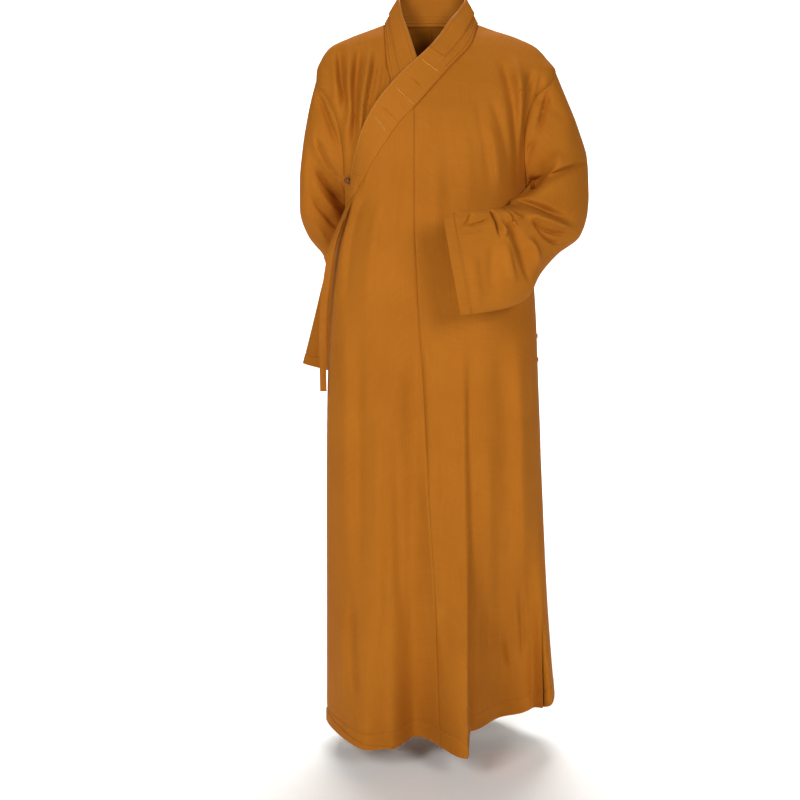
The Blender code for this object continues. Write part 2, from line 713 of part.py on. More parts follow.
def collar_lines():
    """Seam points of the panels round the collar, with their step numbers."""
    overlap = overlap_patch()
    front = front_left_patch()
    under = under_patch()
    under_drop = under_lift(np.linspace(0, 1, UNDER_COLUMNS + 1), panel_rows())
    rows = SEAM_ROWS + 1
    parts = [
        (overlap[0, ::-1], np.linspace(COLLAR_END, CENTRE_TOP, OVERLAP_COLUMNS + 1), None),
        (front[:rows, 0][::-1], np.linspace(CENTRE_TOP, NECK_LEFT, rows), None),
        (back_patch(True)[:rows, 0], np.linspace(NECK_LEFT, NECK_BACK, rows), None),
        (back_patch(False)[:rows, 0][::-1], np.linspace(NECK_BACK, NECK_RIGHT, rows), None),
        (under[:rows, 0], np.linspace(NECK_RIGHT, UNDER_END, rows), under_drop[:rows, 0]),
    ]
    points, normals, steps = [], [], []
    for index, (line, numbers, drop) in enumerate(parts):
        seam = body_shape(line[:, 0], line[:, 1])
        normal = normals_of(body_shape, line[:, 0], line[:, 1])
        if drop is not None:
            seam = seam + drop[:, None] * normal
        first = 0 if index == 0 else 1
        points.append(seam[first:])
        normals.append(normal[first:])
        steps.append(numbers[first:])
    return np.concatenate(points), np.concatenate(normals), np.concatenate(steps)


def grid_normals(grid):
    """Unit normals of a grid of points from its row and column slopes."""
    down = np.gradient(grid, axis=0)
    across = np.gradient(grid, axis=1)
    normal = np.cross(across, down)
    return normal / np.linalg.norm(normal, axis=-1, keepdims=True)


def collar_surface():
    """Collar between its free edge (share 0) and its seam (share 1), and its normals.

    At the seam the normals are those of the body, so the two walls meet edge to edge.
    """
    seam, seam_normal, steps = collar_lines()
    edge = np.stack([read_rows(COLLAR, steps, name) for name in ("edge_x", "edge_y", "edge_z")], axis=-1)
    share = np.array(COLLAR_SHARES)[None, :, None]
    grid = edge[:, None] + (seam - edge)[:, None] * share
    weight = share**3
    normal = grid_normals(grid) * (1 - weight) + seam_normal[:, None] * weight
    normal /= np.linalg.norm(normal, axis=-1, keepdims=True)
    return pull_in(grid, ["right"], TURNED_GAP), normal, steps


def make_collar(material, collection):
    grid, normal, _ = collar_surface()
    outer = grid + COLLAR_PROUD * normal
    cloth_wall("collar_band", outer, outer - COLLAR_WALL * normal, material, collection)


def make_guard(material, collection):
    """Second, shorter band over the neck part of the collar, from the collar's points moved out."""
    grid, normal, steps = collar_surface()
    keep = (steps >= GUARD_FROM) & (steps <= GUARD_TO)
    grid, normal = grid[keep, :GUARD_SHARES], normal[keep, :GUARD_SHARES]
    inner = grid + (COLLAR_PROUD + GUARD_OFF) * normal
    cloth_wall("collar_guard", inner + GUARD_WALL * normal, inner, material, collection)


def body_point(x, height):
    """Point of the body's front at this X and height, with its outward normal."""
    x, height = np.array([x]), np.array([height])
    angle = body_angle(x, height)
    return body_shape(angle, height)[0], normals_of(body_shape, angle, height)[0]


def make_tie(material, collection):
    """Flat ribbon tie hanging from the overlap's corner."""
    root, out = body_point(TIE_ROOT_X, TIE_ROOT_HEIGHT)
    root = root + TIE_OFF * out
    step = np.linspace(0, len(TIE["x"]) - 1, TIE_ROWS + 1)
    middle = root + np.stack([read_rows(TIE, step, name) for name in ("x", "y", "z")], axis=-1)
    turn = np.radians(read_rows(TIE, step, "turn"))
    level = np.zeros_like(turn)
    half = np.stack([np.cos(turn), np.sin(turn), level], axis=-1) * TIE_WIDTH / 2
    face = np.stack([np.sin(turn), -np.cos(turn), level], axis=-1)
    outer = np.stack([middle - half, middle + half], axis=1)
    cloth_wall("tie", outer, outer - TIE_WALL * face[:, None], material, collection)


def make_knot(material, collection):
    """Round knot button against the collar's free edge at the underarm."""
    names = ("edge_x", "edge_y", "edge_z")
    edge = np.array([read_rows(COLLAR, KNOT_STEP, name) for name in names])
    ahead = np.array([read_rows(COLLAR, KNOT_STEP + 1, name) for name in names]) - edge
    _, out = body_point(edge[0], edge[2])
    beside = np.cross(out, ahead)
    beside /= np.linalg.norm(beside)
    centre = edge + (KNOT_RADIUS + SEAM_GAP) * beside + KNOT_OUT * out
    mesh = bpy.data.meshes.new("knot_button")
    work = bmesh.new()
    bmesh.ops.create_uvsphere(work, u_segments=12, v_segments=8, radius=KNOT_RADIUS)
    work.to_mesh(mesh)
    work.free()
    mesh.shade_smooth()
    mesh.materials.append(material)
    item = bpy.data.objects.new("knot_button", mesh)
    item.location = centre
    collection.objects.link(item)


def main():
    clear_scene()
    parts = make_collection("meditation_robe")
    cloth = make_material("plain_weave_cloth", CLOTH_COLOUR, 0.72)
    trim = make_material("ribbon_cloth", TRIM_COLOUR, 0.6)
    knot = make_material("knot_cord", KNOT_COLOUR, 0.6)

    front = front_left_patch()
    panel("front_left", front, slit_lift(), ["top", "left", "right"], cloth, parts)

    overlap = overlap_patch()
    lift = OVERLAP_LIFT * smooth_step((np.linspace(0, 1, OVERLAP_COLUMNS + 1) - 0.6) / 0.4)
    lift = lift[None, :] * smooth_step(np.linspace(0, 1, LOWER_ROWS + 1) / 0.1)[:, None]
    panel("front_overlap", overlap, lift, ["top", "left"], cloth, parts)

    under = under_patch()
    drop = under_lift(np.linspace(0, 1, UNDER_COLUMNS + 1), panel_rows())
    panel("front_right", under, drop, ["top", "left", "right"], cloth, parts)

    for side, at_left in (("left", True), ("right", False)):
        back = back_patch(at_left)
        panel("back_" + side, back, np.zeros(back.shape[:2]), ["top", "left", "right"], cloth, parts)

    make_sleeve("sleeve_left", LEFT_SLEEVE, LEFT_ARMHOLE, True, LEFT_SLEEVE_FOLDS,
                LEFT_SLEEVE_ROWS, cloth, parts)
    make_sleeve("sleeve_right", RIGHT_SLEEVE, RIGHT_ARMHOLE, False, RIGHT_SLEEVE_FOLDS,
                RIGHT_SLEEVE_ROWS, cloth, parts)
    make_collar(cloth, parts)
    make_guard(cloth, parts)
    make_tie(trim, parts)
    make_knot(knot, parts)


main()
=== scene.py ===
import math

import bpy
import numpy as np
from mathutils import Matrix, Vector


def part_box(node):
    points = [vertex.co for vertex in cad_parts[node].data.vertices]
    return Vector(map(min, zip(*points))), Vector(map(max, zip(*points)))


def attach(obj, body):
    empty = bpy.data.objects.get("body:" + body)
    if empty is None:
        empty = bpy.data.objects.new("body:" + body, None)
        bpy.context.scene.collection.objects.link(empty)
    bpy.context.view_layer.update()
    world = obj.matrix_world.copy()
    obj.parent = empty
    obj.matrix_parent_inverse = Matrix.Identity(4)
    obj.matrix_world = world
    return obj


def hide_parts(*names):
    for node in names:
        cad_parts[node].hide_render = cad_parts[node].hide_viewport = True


# Meditation robe in ochre plain weave, in its worn form.
# Metres, +Z up, +X the wearer's left, -Y the front, origin at the base of the neck.

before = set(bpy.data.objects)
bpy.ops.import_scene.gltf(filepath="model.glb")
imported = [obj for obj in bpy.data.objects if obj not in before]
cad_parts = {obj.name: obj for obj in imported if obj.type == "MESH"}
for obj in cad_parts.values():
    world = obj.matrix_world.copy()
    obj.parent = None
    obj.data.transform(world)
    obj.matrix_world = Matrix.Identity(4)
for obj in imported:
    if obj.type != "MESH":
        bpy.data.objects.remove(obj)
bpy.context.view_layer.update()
print("frame loaded:", len(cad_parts), "nodes")

mm = 0.001


# small tools

def table(columns, rows):  # rows of numbers -> one array for each named column
    return dict(zip(columns.split(), np.array(rows, dtype=float).T))


def smoothStep(value):  # 3t^2 - 2t^3 of the value held between 0 and 1
    part = np.clip(value, 0.0, 1.0)
    return part * part * (3.0 - 2.0 * part)


def along(position, places, values):
    # cubic curve through the values whose slopes are the harmonic means of the
    # two rates at each place, so it never overshoots; ends held
    order = np.argsort(places)
    places = np.asarray(places, dtype=float)[order]
    values = np.asarray(values, dtype=float)[order]
    rates = np.diff(values) / np.diff(places)
    turning = rates[:-1] * rates[1:] <= 0
    total = np.where(turning, 1.0, rates[:-1] + rates[1:])
    inside = np.where(turning, 0.0, 2 * rates[:-1] * rates[1:] / total)
    slopes = np.concatenate([rates[:1], inside, rates[-1:]])
    position = np.clip(position, places[0], places[-1])
    index = np.clip(np.searchsorted(places, position) - 1, 0, len(places) - 2)
    width = places[index + 1] - places[index]
    part = (position - places[index]) / width
    square = part * part
    cube = square * part
    start = (2 * cube - 3 * square + 1) * values[index]
    startSlope = (cube - 2 * square + part) * width * slopes[index]
    end = (3 * square - 2 * cube) * values[index + 1]
    endSlope = (cube - square) * width * slopes[index + 1]
    return start + startSlope + end + endSlope


def readRows(source, position, name):  # a named column, read between row numbers
    return along(position, np.arange(len(source[name]), dtype=float), source[name])


def joinLines(upper, lower):
    return np.concatenate([upper, lower[1:]])


# the robe's form

hem = {"height": -1.392, "leftRise": 0.055, "rightRise": 0.028}
neckHeight = 0.003
levelHeight = -0.335  # row that meets the underarm

body = table(
    "height right left front back side power",
    [
        (0.003, -0.0890, 0.0870, 0.000, 0.055, 0.000, 2.30),
        (-0.009, -0.1220, 0.1210, 0.018, 0.064, 0.000, 2.32),
        (-0.020, -0.1520, 0.1560, 0.032, 0.072, 0.000, 2.36),
        (-0.040, -0.1930, 0.1980, 0.048, 0.080, 0.000, 2.45),
        (-0.060, -0.2080, 0.2170, 0.062, 0.088, 0.000, 2.60),
        (-0.085, -0.2180, 0.2350, 0.078, 0.098, 0.000, 2.70),
        (-0.104, -0.2190, 0.2330, 0.089, 0.103, 0.000, 2.70),
        (-0.130, -0.2060, 0.2120, 0.101, 0.110, 0.000, 2.70),
        (-0.156, -0.1950, 0.1990, 0.111, 0.115, 0.000, 2.70),
        (-0.200, -0.1840, 0.1910, 0.121, 0.120, 0.000, 2.60),
        (-0.260, -0.1730, 0.1850, 0.130, 0.124, 0.000, 2.50),
        (-0.320, -0.1660, 0.1815, 0.136, 0.123, 0.000, 2.40),
        (-0.420, -0.1820, 0.1920, 0.142, 0.119, 0.000, 2.30),
        (-0.520, -0.1910, 0.2030, 0.142, 0.119, 0.002, 2.30),
        (-0.720, -0.2000, 0.2145, 0.144, 0.126, 0.008, 2.30),
        (-0.920, -0.2030, 0.2260, 0.150, 0.130, 0.016, 2.30),
        (-1.130, -0.2050, 0.2400, 0.160, 0.132, 0.028, 2.30),
        (-1.392, -0.2080, 0.2650, 0.180, 0.126, 0.045, 2.30),
    ],
)

# long folds that open towards the hem: start, place at the hem, how far out there
frontFolds = table(
    "startX startHeight hemX out",
    [
        (-0.190, -0.90, -0.215, 0.000),
        (-0.120, -0.80, -0.132, 0.030),
        (-0.085, -0.85, -0.080, 0.004),
        (-0.035, -0.95, -0.026, -0.062),
        (0.066, -0.72, 0.071, 0.046),
        (0.080, -0.92, 0.083, -0.086),
        (0.130, -0.88, 0.150, -0.134),
        (0.180, -0.90, 0.212, -0.105),
        (0.215, -0.95, 0.262, 0.000),
    ],
)
backFolds = table(
    "startX startHeight hemX out",
    [
        (-0.200, -0.90, -0.210, 0.000),
        (-0.140, -0.70, -0.150, 0.022),
        (-0.085, -0.75, -0.080, -0.024),
        (-0.015, -0.55, -0.012, 0.026),
        (0.055, -0.70, 0.062, -0.028),
        (0.125, -0.60, 0.142, 0.026),
        (0.180, -0.80, 0.210, -0.012),
        (0.215, -0.90, 0.265, 0.000),
    ],
)
foldGrowth = 1.4

# Creases, in mm as seen from the front: three points of the line, half width,
# how far the cloth stands out (troughs are negative), and ledge, the share of
# the crease that is a step with its high side on the line's left.
creaseColumns = "x1 z1 x2 z2 x3 z3 width out ledge"


def creaseTable(depth, lines):  # the rows with out scaled by depth
    made = table(creaseColumns, lines)
    made["out"] *= depth
    return made


frontCreases = creaseTable(
    2.1,
    [
        (124, -60, 152, -147, 162, -330, 12, -8, 0.2),
        (188, -78, 177, -150, 170, -300, 9, -9, 0.1),
        (150, -50, 166, -140, 168, -260, 9, 5, 0),
        (206, -86, 196, -134, 188, -220, 8, -4, 0),
        (104, -129, 129, -192, 147, -283, 9, -3, 0.1),
        (90, -160, 113, -228, 125, -312, 10, 2.5, 0),
        (75, -120, 98, -210, 107, -319, 10, -2, 0.1),
        (50, -156, 62, -246, 66, -329, 12, 1.6, 0),
        (21, -174, 28, -265, 33, -375, 12, -1.4, 0),
        (-1, -228, 7, -301, 7, -412, 10, 1.2, 0),
        (-53, -228, -67, -301, -75, -430, 12, -2.0, 0),
        (-82, -301, -112, -393, -128, -562, 12, 2.2, 0),
        (-112, -301, -145, -384, -162, -562, 9, -2.6, 0.2),
        (-134, -301, -158, -360, -174, -487, 6, 2.0, 0),
        (-126, -268, -134, -286, -139, -308, 3.0, -1.4, 0.3),
        (-117, -268, -123, -283, -128, -301, 2.6, 1.0, 0),
        (55, -557, 60, -766, 66, -1040, 12, 4, 0),
        (70, -614, 72, -805, 76, -1040, 7, -3, 0.1),
        (-28, -540, -34, -850, -40, -1280, 25, -9, 0),
        (126, -557, 140, -766, 155, -1080, 20, -4, 0),
        (166, -557, 174, -785, 190, -1120, 14, 4, 0),
        (101, -728, 111, -922, 122, -1161, 12, 2.5, 0),
        (-162, -501, -165, -728, -164, -1080, 14, 3, 0),
        (-136, -557, -139, -805, -137, -1161, 12, -3.5, 0),
        (-101, -689, -102, -922, -99, -1283, 14, 3.5, 0),
        (-68, -728, -64, -961, -56, -1161, 10, -3, 0),
        (15, -651, 23, -843, 29, -1161, 12, -2.2, 0),
        (-15, -766, 1, -1000, 30, -1283, 8, 2.5, 0),
        (-23, -557, -15, -728, -7, -922, 6, -2.0, 0),
        (133, -1161, 144, -1222, 150, -1263, 7, -2.5, 0.2),
        (157, -1181, 161, -1232, 168, -1271, 7, 2.5, 0),
        (178, -1080, 185, -1161, 193, -1263, 7, -5, 0.2),
        (101, -1080, 106, -1181, 107, -1283, 8, -4, 0),
        (-156, -1080, -153, -1201, -150, -1325, 7, -5, 0),
        (-176, -1120, -176, -1222, -173, -1325, 6, 3, 0),
    ],
)
underCreases = creaseTable(
    2.0,
    [
        (-172, -30, -170, -100, -160, -200, 8, -8, 0.2),
        (-182, -50, -184, -110, -176, -170, 8, 3, 0),
        (-152, -30, -160, -130, -162, -250, 8, 5, 0),
        (-132, -26, -146, -120, -153, -275, 7, -7, 0.1),
        (-114, -26, -128, -110, -150, -240, 7, 5, 0),
        (-102, -40, -114, -110, -138, -205, 7, -5, 0.1),
        (-88, -46, -93, -100, -108, -160, 6, -4, 0),
    ],
)
backCreases = creaseTable(
    2.0,
    [
        (-150, -80, -152, -160, -160, -290, 9, -7, 0.2),
        (-128, -90, -132, -170, -140, -300, 8, 3, 0),
        (-170, -110, -172, -150, -168, -230, 6, -5, 0),
        (148, -80, 152, -160, 162, -290, 9, -7, 0.2),
        (124, -90, 130, -180, 140, -300, 8, 3, 0),
        (176, -110, 174, -150, 170, -230, 6, -5, 0),
        (-70, -60, -84, -180, -96, -320, 14, -3, 0),
        (66, -60, 84, -180, 98, -320, 14, -3, 0),
        (-30, -180, -36, -320, -40, -520, 16, 3, 0),
        (36, -160, 40, -320, 44, -560, 16, 3, 0),
        (4, -300, 2, -440, -6, -700, 14, -5, 0),
        (-96, -360, -104, -560, -110, -900, 14, -5, 0),
        (-140, -380, -148, -600, -150, -900, 12, 4, 0),
        (92, -380, 98, -560, 104, -900, 14, -5, 0),
        (140, -400, 150, -600, 160, -900, 12, 4, 0),
        (-52, -600, -56, -820, -50, -1140, 12, 4, 0),
        (20, -640, 26, -860, 30, -1200, 10, -4, 0),
        (160, -700, 176, -900, 190, -1200, 10, -5, 0.2),
        (-176, -700, -182, -900, -184, -1200, 8, -4, 0),
    ],
)
collar = table(
    "seamX seamZ edgeX edgeY edgeZ",
    [
        (-0.1540, -0.3210, -0.1545, -0.060, -0.303),
        (-0.1340, -0.2910, -0.1470, -0.076, -0.256),
        (-0.1150, -0.2560, -0.1410, -0.084, -0.229),
        (-0.0890, -0.2170, -0.1280, -0.097, -0.188),
        (-0.0590, -0.1750, -0.1040, -0.100, -0.143),
        (-0.0340, -0.1500, -0.0800, -0.098, -0.113),
        (-0.0110, -0.1250, -0.0530, -0.094, -0.085),
        (0.0140, -0.0970, -0.0280, -0.084, -0.062),
        (0.0410, -0.0680, -0.0020, -0.070, -0.038),
        (0.0600, -0.0490, 0.0140, -0.052, -0.019),
        (0.0740, -0.0320, 0.0330, -0.034, 0.008),
        (0.0810, -0.0140, 0.0480, -0.014, 0.025),
        (0.0870, 0.0030, 0.0620, 0.004, 0.047),
        (0.0767, 0.0030, 0.0560, 0.030, 0.058),
        (0.0476, 0.0030, 0.0340, 0.050, 0.064),
        (0.0000, 0.0030, 0.0000, 0.056, 0.066),
        (-0.0480, 0.0030, -0.0340, 0.050, 0.064),
        (-0.0780, 0.0030, -0.0560, 0.030, 0.058),
        (-0.0890, 0.0030, -0.0610, 0.004, 0.047),
        (-0.0890, -0.0140, -0.0560, -0.020, 0.018),
        (-0.0880, -0.0310, -0.0460, -0.043, -0.010),
        (-0.0860, -0.0600, -0.0370, -0.060, -0.038),
        (-0.0800, -0.0880, -0.0280, -0.074, -0.066),
        (-0.0670, -0.1430, -0.0140, -0.086, -0.111),
        (-0.0450, -0.2000, 0.0080, -0.098, -0.165),
    ],
)
collarEnd, centreTop, neckLeft, neckBack, neckRight, underEnd = 0, 5, 12, 15, 18, 24

centreSeam = table(
    "height x",
    [
        (-0.150, -0.0340),
        (-0.320, -0.0340),
        (-0.500, -0.0270),
        (-0.690, -0.0150),
        (-0.880, -0.0050),
        (-1.080, 0.0070),
        (-1.280, 0.0140),
        (-1.392, 0.0190),
    ],
)
overlapEdge = table(
    "height angle",
    [(-0.321, 156), (-0.360, 162), (-0.420, 167), (-0.520, 170), (-0.900, 172), (-1.392, 172)],
)
underEdge = table("height x", [(-0.200, -0.0450), (-0.420, 0.0100), (-1.392, 0.0400)])
slitEdge = table(
    "height angle",
    [(-0.316, 0), (-0.620, 0), (-0.800, 8), (-0.970, 18), (-1.124, 24), (-1.392, 29)],
)
overlapLift = 0.0050
slitForm = {"top": 0.45, "lift": 0.0045, "tuck": math.radians(7), "drop": 0.0030}
underDrop = {"top": 0.0090, "hem": 0.0220}
sideForm = {"hollow": 0.0110, "from": 0.72}
leftArmhole = {"top": -0.085, "bottom": -0.316, "depth": 0.068}
rightArmhole = {"top": -0.100, "bottom": -0.312, "depth": 0.060}

# grid sizes: 4 to 6 mm between points, closer at seams and at the hem
rows = {"armhole": 70, "seam": 49, "skirt": 215, "hem": 15, "collar": 36}
columns = {"front": 112, "overlap": 64, "under": 60, "back": 70, "sleeve": 200}
armholeShare = 0.2
hemShare = 0.965
skirtShares = joinLines(
    np.linspace(0.0, hemShare, rows["skirt"] + 1), np.linspace(hemShare, 1.0, rows["hem"] + 1)
)


def longFolds(x, height, folds):
    # each fold line leads straight from its start to the hem, and stands out by
    # out * (way down)^growth; between two lines the amounts blend smoothly
    total = np.zeros_like(x)
    lines = []
    for startX, start, hemX, out in zip(*folds.values()):
        part = np.clip((start - height) / (start - hem["height"]), 0.0, 1.0)
        lines.append((startX + (hemX - startX) * part, out * part**foldGrowth))
    for (nearX, nearOut), (farX, farOut) in zip(lines[:-1], lines[1:]):
        part = (x - nearX) / (farX - nearX)
        inside = (part >= 0.0) & (part < 1.0)
        total += np.where(inside, nearOut + (farOut - nearOut) * smoothStep(part), 0.0)
    return total


def creases(x, z, source):
    # each crease follows a bowed line through its three points; across it the
    # cloth moves by out * exp(-(away/width)^2), or for its ledge share by
    # out * tanh(2.4 away/width) * exp(-(away/width)^2); both ends fade
    total = np.zeros_like(x)
    pieces = 8
    for x1, z1, x2, z2, x3, z3, width, out, ledge in zip(*source.values()):
        t = np.linspace(0, 1, pieces + 1)
        bendX, bendZ = 2 * x2 - (x1 + x3) / 2, 2 * z2 - (z1 + z3) / 2
        lineX = ((1 - t) ** 2 * x1 + 2 * t * (1 - t) * bendX + t**2 * x3) * mm
        lineZ = ((1 - t) ** 2 * z1 + 2 * t * (1 - t) * bendZ + t**2 * z3) * mm
        width, out = width * mm, out * mm
        best = np.full_like(x, 1.0)
        share = np.zeros_like(x)
        for i in range(pieces):
            runX, runZ = lineX[i + 1] - lineX[i], lineZ[i + 1] - lineZ[i]
            length = math.hypot(runX, runZ)
            offX, offZ = x - lineX[i], z - lineZ[i]
            part = np.clip((offX * runX + offZ * runZ) / length**2, 0.0, 1.0)
            away = np.hypot(offX - part * runX, offZ - part * runZ)
            side = np.where(runX * offZ - runZ * offX > 0, 1.0, -1.0)
            near = away < np.abs(best)
            best = np.where(near, away * side, best)
            share = np.where(near, (i + part) / pieces, share)
        bell = np.exp(-((best / width) ** 2))
        fade = smoothStep(share / 0.32) * smoothStep((1 - share) / 0.32)
        shape = (1 - abs(ledge)) - ledge * np.tanh(2.4 * best / width)
        total += out * bell * shape * (0.04 + 0.96 * fade)
    return total


def unevenness(x, z, seed, size):
    # sum of sine waves in seeded directions, 40 to 160 mm long
    rng = np.random.default_rng(seed)
    total = np.zeros_like(x)
    for _ in range(14):  # waves
        wave = rng.uniform(0.04, 0.16)
        lean = rng.uniform(-0.9, 0.9)
        phase = rng.uniform(0, 2 * math.pi)
        total += np.sin(2 * math.pi / wave * (x * math.cos(lean) + z * math.sin(lean) * 0.45) + phase)
    return total * size / 5


def bodyAngle(x, height):  # angle round the body where its front has this X
    right, left, power = (along(height, body["height"], body[n]) for n in ("right", "left", "power"))
    share = np.clip((2 * x - left - right) / (left - right), -1.0, 1.0)
    return np.arccos(np.sign(share) * np.abs(share) ** (power / 2))


def bodyShape(angle, height, folds=frontCreases):
    # at each level a rounded section |x|^n + |y|^n = 1 between the four sides,
    # then moved out by the folds; 0 is the wearer's left, pi/2 the front
    names = ("right", "left", "front", "back", "side", "power")
    right, left, front, back, side, power = (along(height, body["height"], body[n]) for n in names)
    across, out = np.cos(angle), np.sin(angle)
    x = (left + right) / 2 + (left - right) / 2 * np.sign(across) * np.abs(across) ** (2 / power)
    reach = np.abs(out) ** (2 / power)
    inFront = out > 0
    push = np.where(
        inFront,
        longFolds(x, height, frontFolds) + creases(x, height, folds),
        longFolds(x, height, backFolds) + creases(x, height, backCreases),
    )
    push += unevenness(x, height, 3, 0.0009)
    push = push * smoothStep(reach / 0.5)
    depth = np.where(inFront, -(front * reach + push), back * reach + push)
    return np.stack([x, side + depth, height], axis=-1)


def plainNormals(angle, height):
    # cross product of the two slopes of the body without its small creases
    def plain(a, h):
        return bodyShape(a, h, noCreases)

    step = 0.002
    one = plain(angle + step, height) - plain(angle - step, height)
    two = plain(angle, height + step) - plain(angle, height - step)
    normal = np.cross(two, one)
    return normal / np.linalg.norm(normal, axis=-1, keepdims=True)


noCreases = creaseTable(0, [(0, 900, 0, 901, 0, 902, 1, 0, 0)])


def gridNormals(grid, wrap=False):
    # cross product of the grid's row and column slopes
    if wrap:
        across = np.roll(grid, -1, axis=1) - np.roll(grid, 1, axis=1)
    else:
        across = np.gradient(grid, axis=1)
    down = np.gradient(grid, axis=0)
    normal = np.cross(across, down)
    return normal / np.maximum(np.linalg.norm(normal, axis=-1, keepdims=True), 1e-12)


def lengthsAlong(grid, axis):  # running arc length along a grid axis, from 0
    steps = np.linalg.norm(np.diff(grid, axis=axis), axis=-1)
    first = np.zeros_like(np.take(steps, [0], axis=axis))
    return np.concatenate([first, np.cumsum(steps, axis=axis)], axis=axis)


def coonsPatch(top, bottom, left, right, across, down):
    # blend of top and bottom plus blend of left and right, less the corners
    s, t = across[None, :, None], down[:, None, None]
    lines = (1 - t) * top[None] + t * bottom[None] + (1 - s) * left[:, None] + s * right[:, None]
    corners = (1 - t) * ((1 - s) * top[0] + s * top[-1]) + t * ((1 - s) * bottom[0] + s * bottom[-1])
    return lines - corners


def edgeShares(count, start=True, end=True):
    # even shares with four close ones at each sewn edge
    close = np.array([0.0, 0.0022, 0.0050, 0.0090, 0.0150])
    first = close if start else np.array([0.0])
    last = 1 - close[::-1] if end else np.array([1.0])
    middle = np.linspace(first[-1], last[0], count + 1)
    return np.concatenate([first[:-1], middle, last[1:]])


# meshes and shells

def addMesh(name, points, faces, material, uv=None, smooth=True):
    mesh = bpy.data.meshes.new(name)
    mesh.from_pydata(points.reshape(-1, 3).tolist(), [], faces)
    if uv is not None:
        layer = mesh.uv_layers.new(name="cut")
        corners = np.zeros(len(mesh.loops), dtype=np.int32)
        mesh.loops.foreach_get("vertex_index", corners)
        layer.data.foreach_set("uv", uv[corners].astype(np.float32).ravel())
    mesh.materials.append(material)
    mesh.shade_smooth() if smooth else mesh.shade_flat()
    item = bpy.data.objects.new(name, mesh)
    bpy.context.scene.collection.objects.link(item)
    return item


def clothShell(name, outer, wall, material, tube=False, normal=None):
    # closed shell: the outer grid, the same grid moved in by the wall along its
    # normals, and a rim joining the two; the UV map holds running lengths in metres
    normal = gridNormals(outer, tube) if normal is None else normal
    inner = outer - wall * normal
    count = outer.shape[0] * outer.shape[1]
    numbers = np.arange(count).reshape(outer.shape[:2])
    if tube:
        numbers = np.hstack([numbers, numbers[:, :1]])
    near, far = numbers[:-1, :-1], numbers[1:, 1:]
    beside, below = numbers[:-1, 1:], numbers[1:, :-1]
    quads = np.stack([near, below, far, beside], axis=-1).reshape(-1, 4)
    rims = [numbers[0][::-1], numbers[-1]]
    if not tube:
        rims += [numbers[:, 0], numbers[::-1, -1]]
    faces = [quads, quads[:, ::-1] + count]
    for rim in rims:
        faces.append(np.stack([rim[1:], rim[:-1], rim[:-1] + count, rim[1:] + count], axis=-1))
    points = np.concatenate([outer.reshape(-1, 3), inner.reshape(-1, 3)])
    uv = np.stack([lengthsAlong(outer, 1), -lengthsAlong(outer, 0)], axis=-1).reshape(-1, 2)
    item = addMesh(name, points, np.concatenate(faces).tolist(), material, np.concatenate([uv, uv]))
    item.data.set_sharp_from_angle(angle=math.radians(58))
    down, across = outer[1:, :-1] - outer[:-1, :-1], outer[:-1, 1:] - outer[:-1, :-1]
    area = np.linalg.norm(np.cross(down, across), axis=-1).sum()
    wide, long = lengthsAlong(outer, 1)[:, -1].max(), lengthsAlong(outer, 0)[-1].max()
    print(f"{name}: {len(item.data.polygons) * 2} triangles, {area:.3f} m2, {wide:.3f} wide, {long:.3f} long")
    return item


def finishPanel(outer, normal, edges, gap):
    # at each sewn edge the cloth rolls in by dip * exp(-(away/reach)^2), and
    # its last point at the centre draws back by the gap
    result = outer.copy()
    rowLengths, columnLengths = lengthsAlong(outer, 1), lengthsAlong(outer, 0)
    away = {
        "left": rowLengths,
        "right": rowLengths[:, -1:] - rowLengths,
        "top": columnLengths,
        "bottom": columnLengths[-1:] - columnLengths,
    }
    for edge, dip in edges.items():
        result = result - (dip * np.exp(-((away[edge] / seam["reach"]) ** 2)))[..., None] * normal
    inward = result[:, 1] - result[:, 0]
    result[:, 0] += gap * inward / np.linalg.norm(inward, axis=-1, keepdims=True)
    return result


seam = {"dip": 0.0015, "backDip": 0.0008, "topDip": 0.0006, "reach": 0.0020, "gap": 0.0002}


hemForm = {"proud": 0.0005, "rise": 0.004, "groove": 0.0009, "grooveWidth": 0.0018}


def hemBand(outer, normal, lineRow):
    # below the hem's sewing line the cloth is double and stands out by proud,
    # with a groove of exp(-(away/grooveWidth)^2) along the line itself
    away = lengthsAlong(outer, 0)[-1:] - lengthsAlong(outer, 0)
    line = away[lineRow : lineRow + 1]
    push = hemForm["proud"] * smoothStep((line - away) / hemForm["rise"])
    push -= hemForm["groove"] * np.exp(-(((away - line) / hemForm["grooveWidth"]) ** 2))
    return outer + push[..., None] * normal


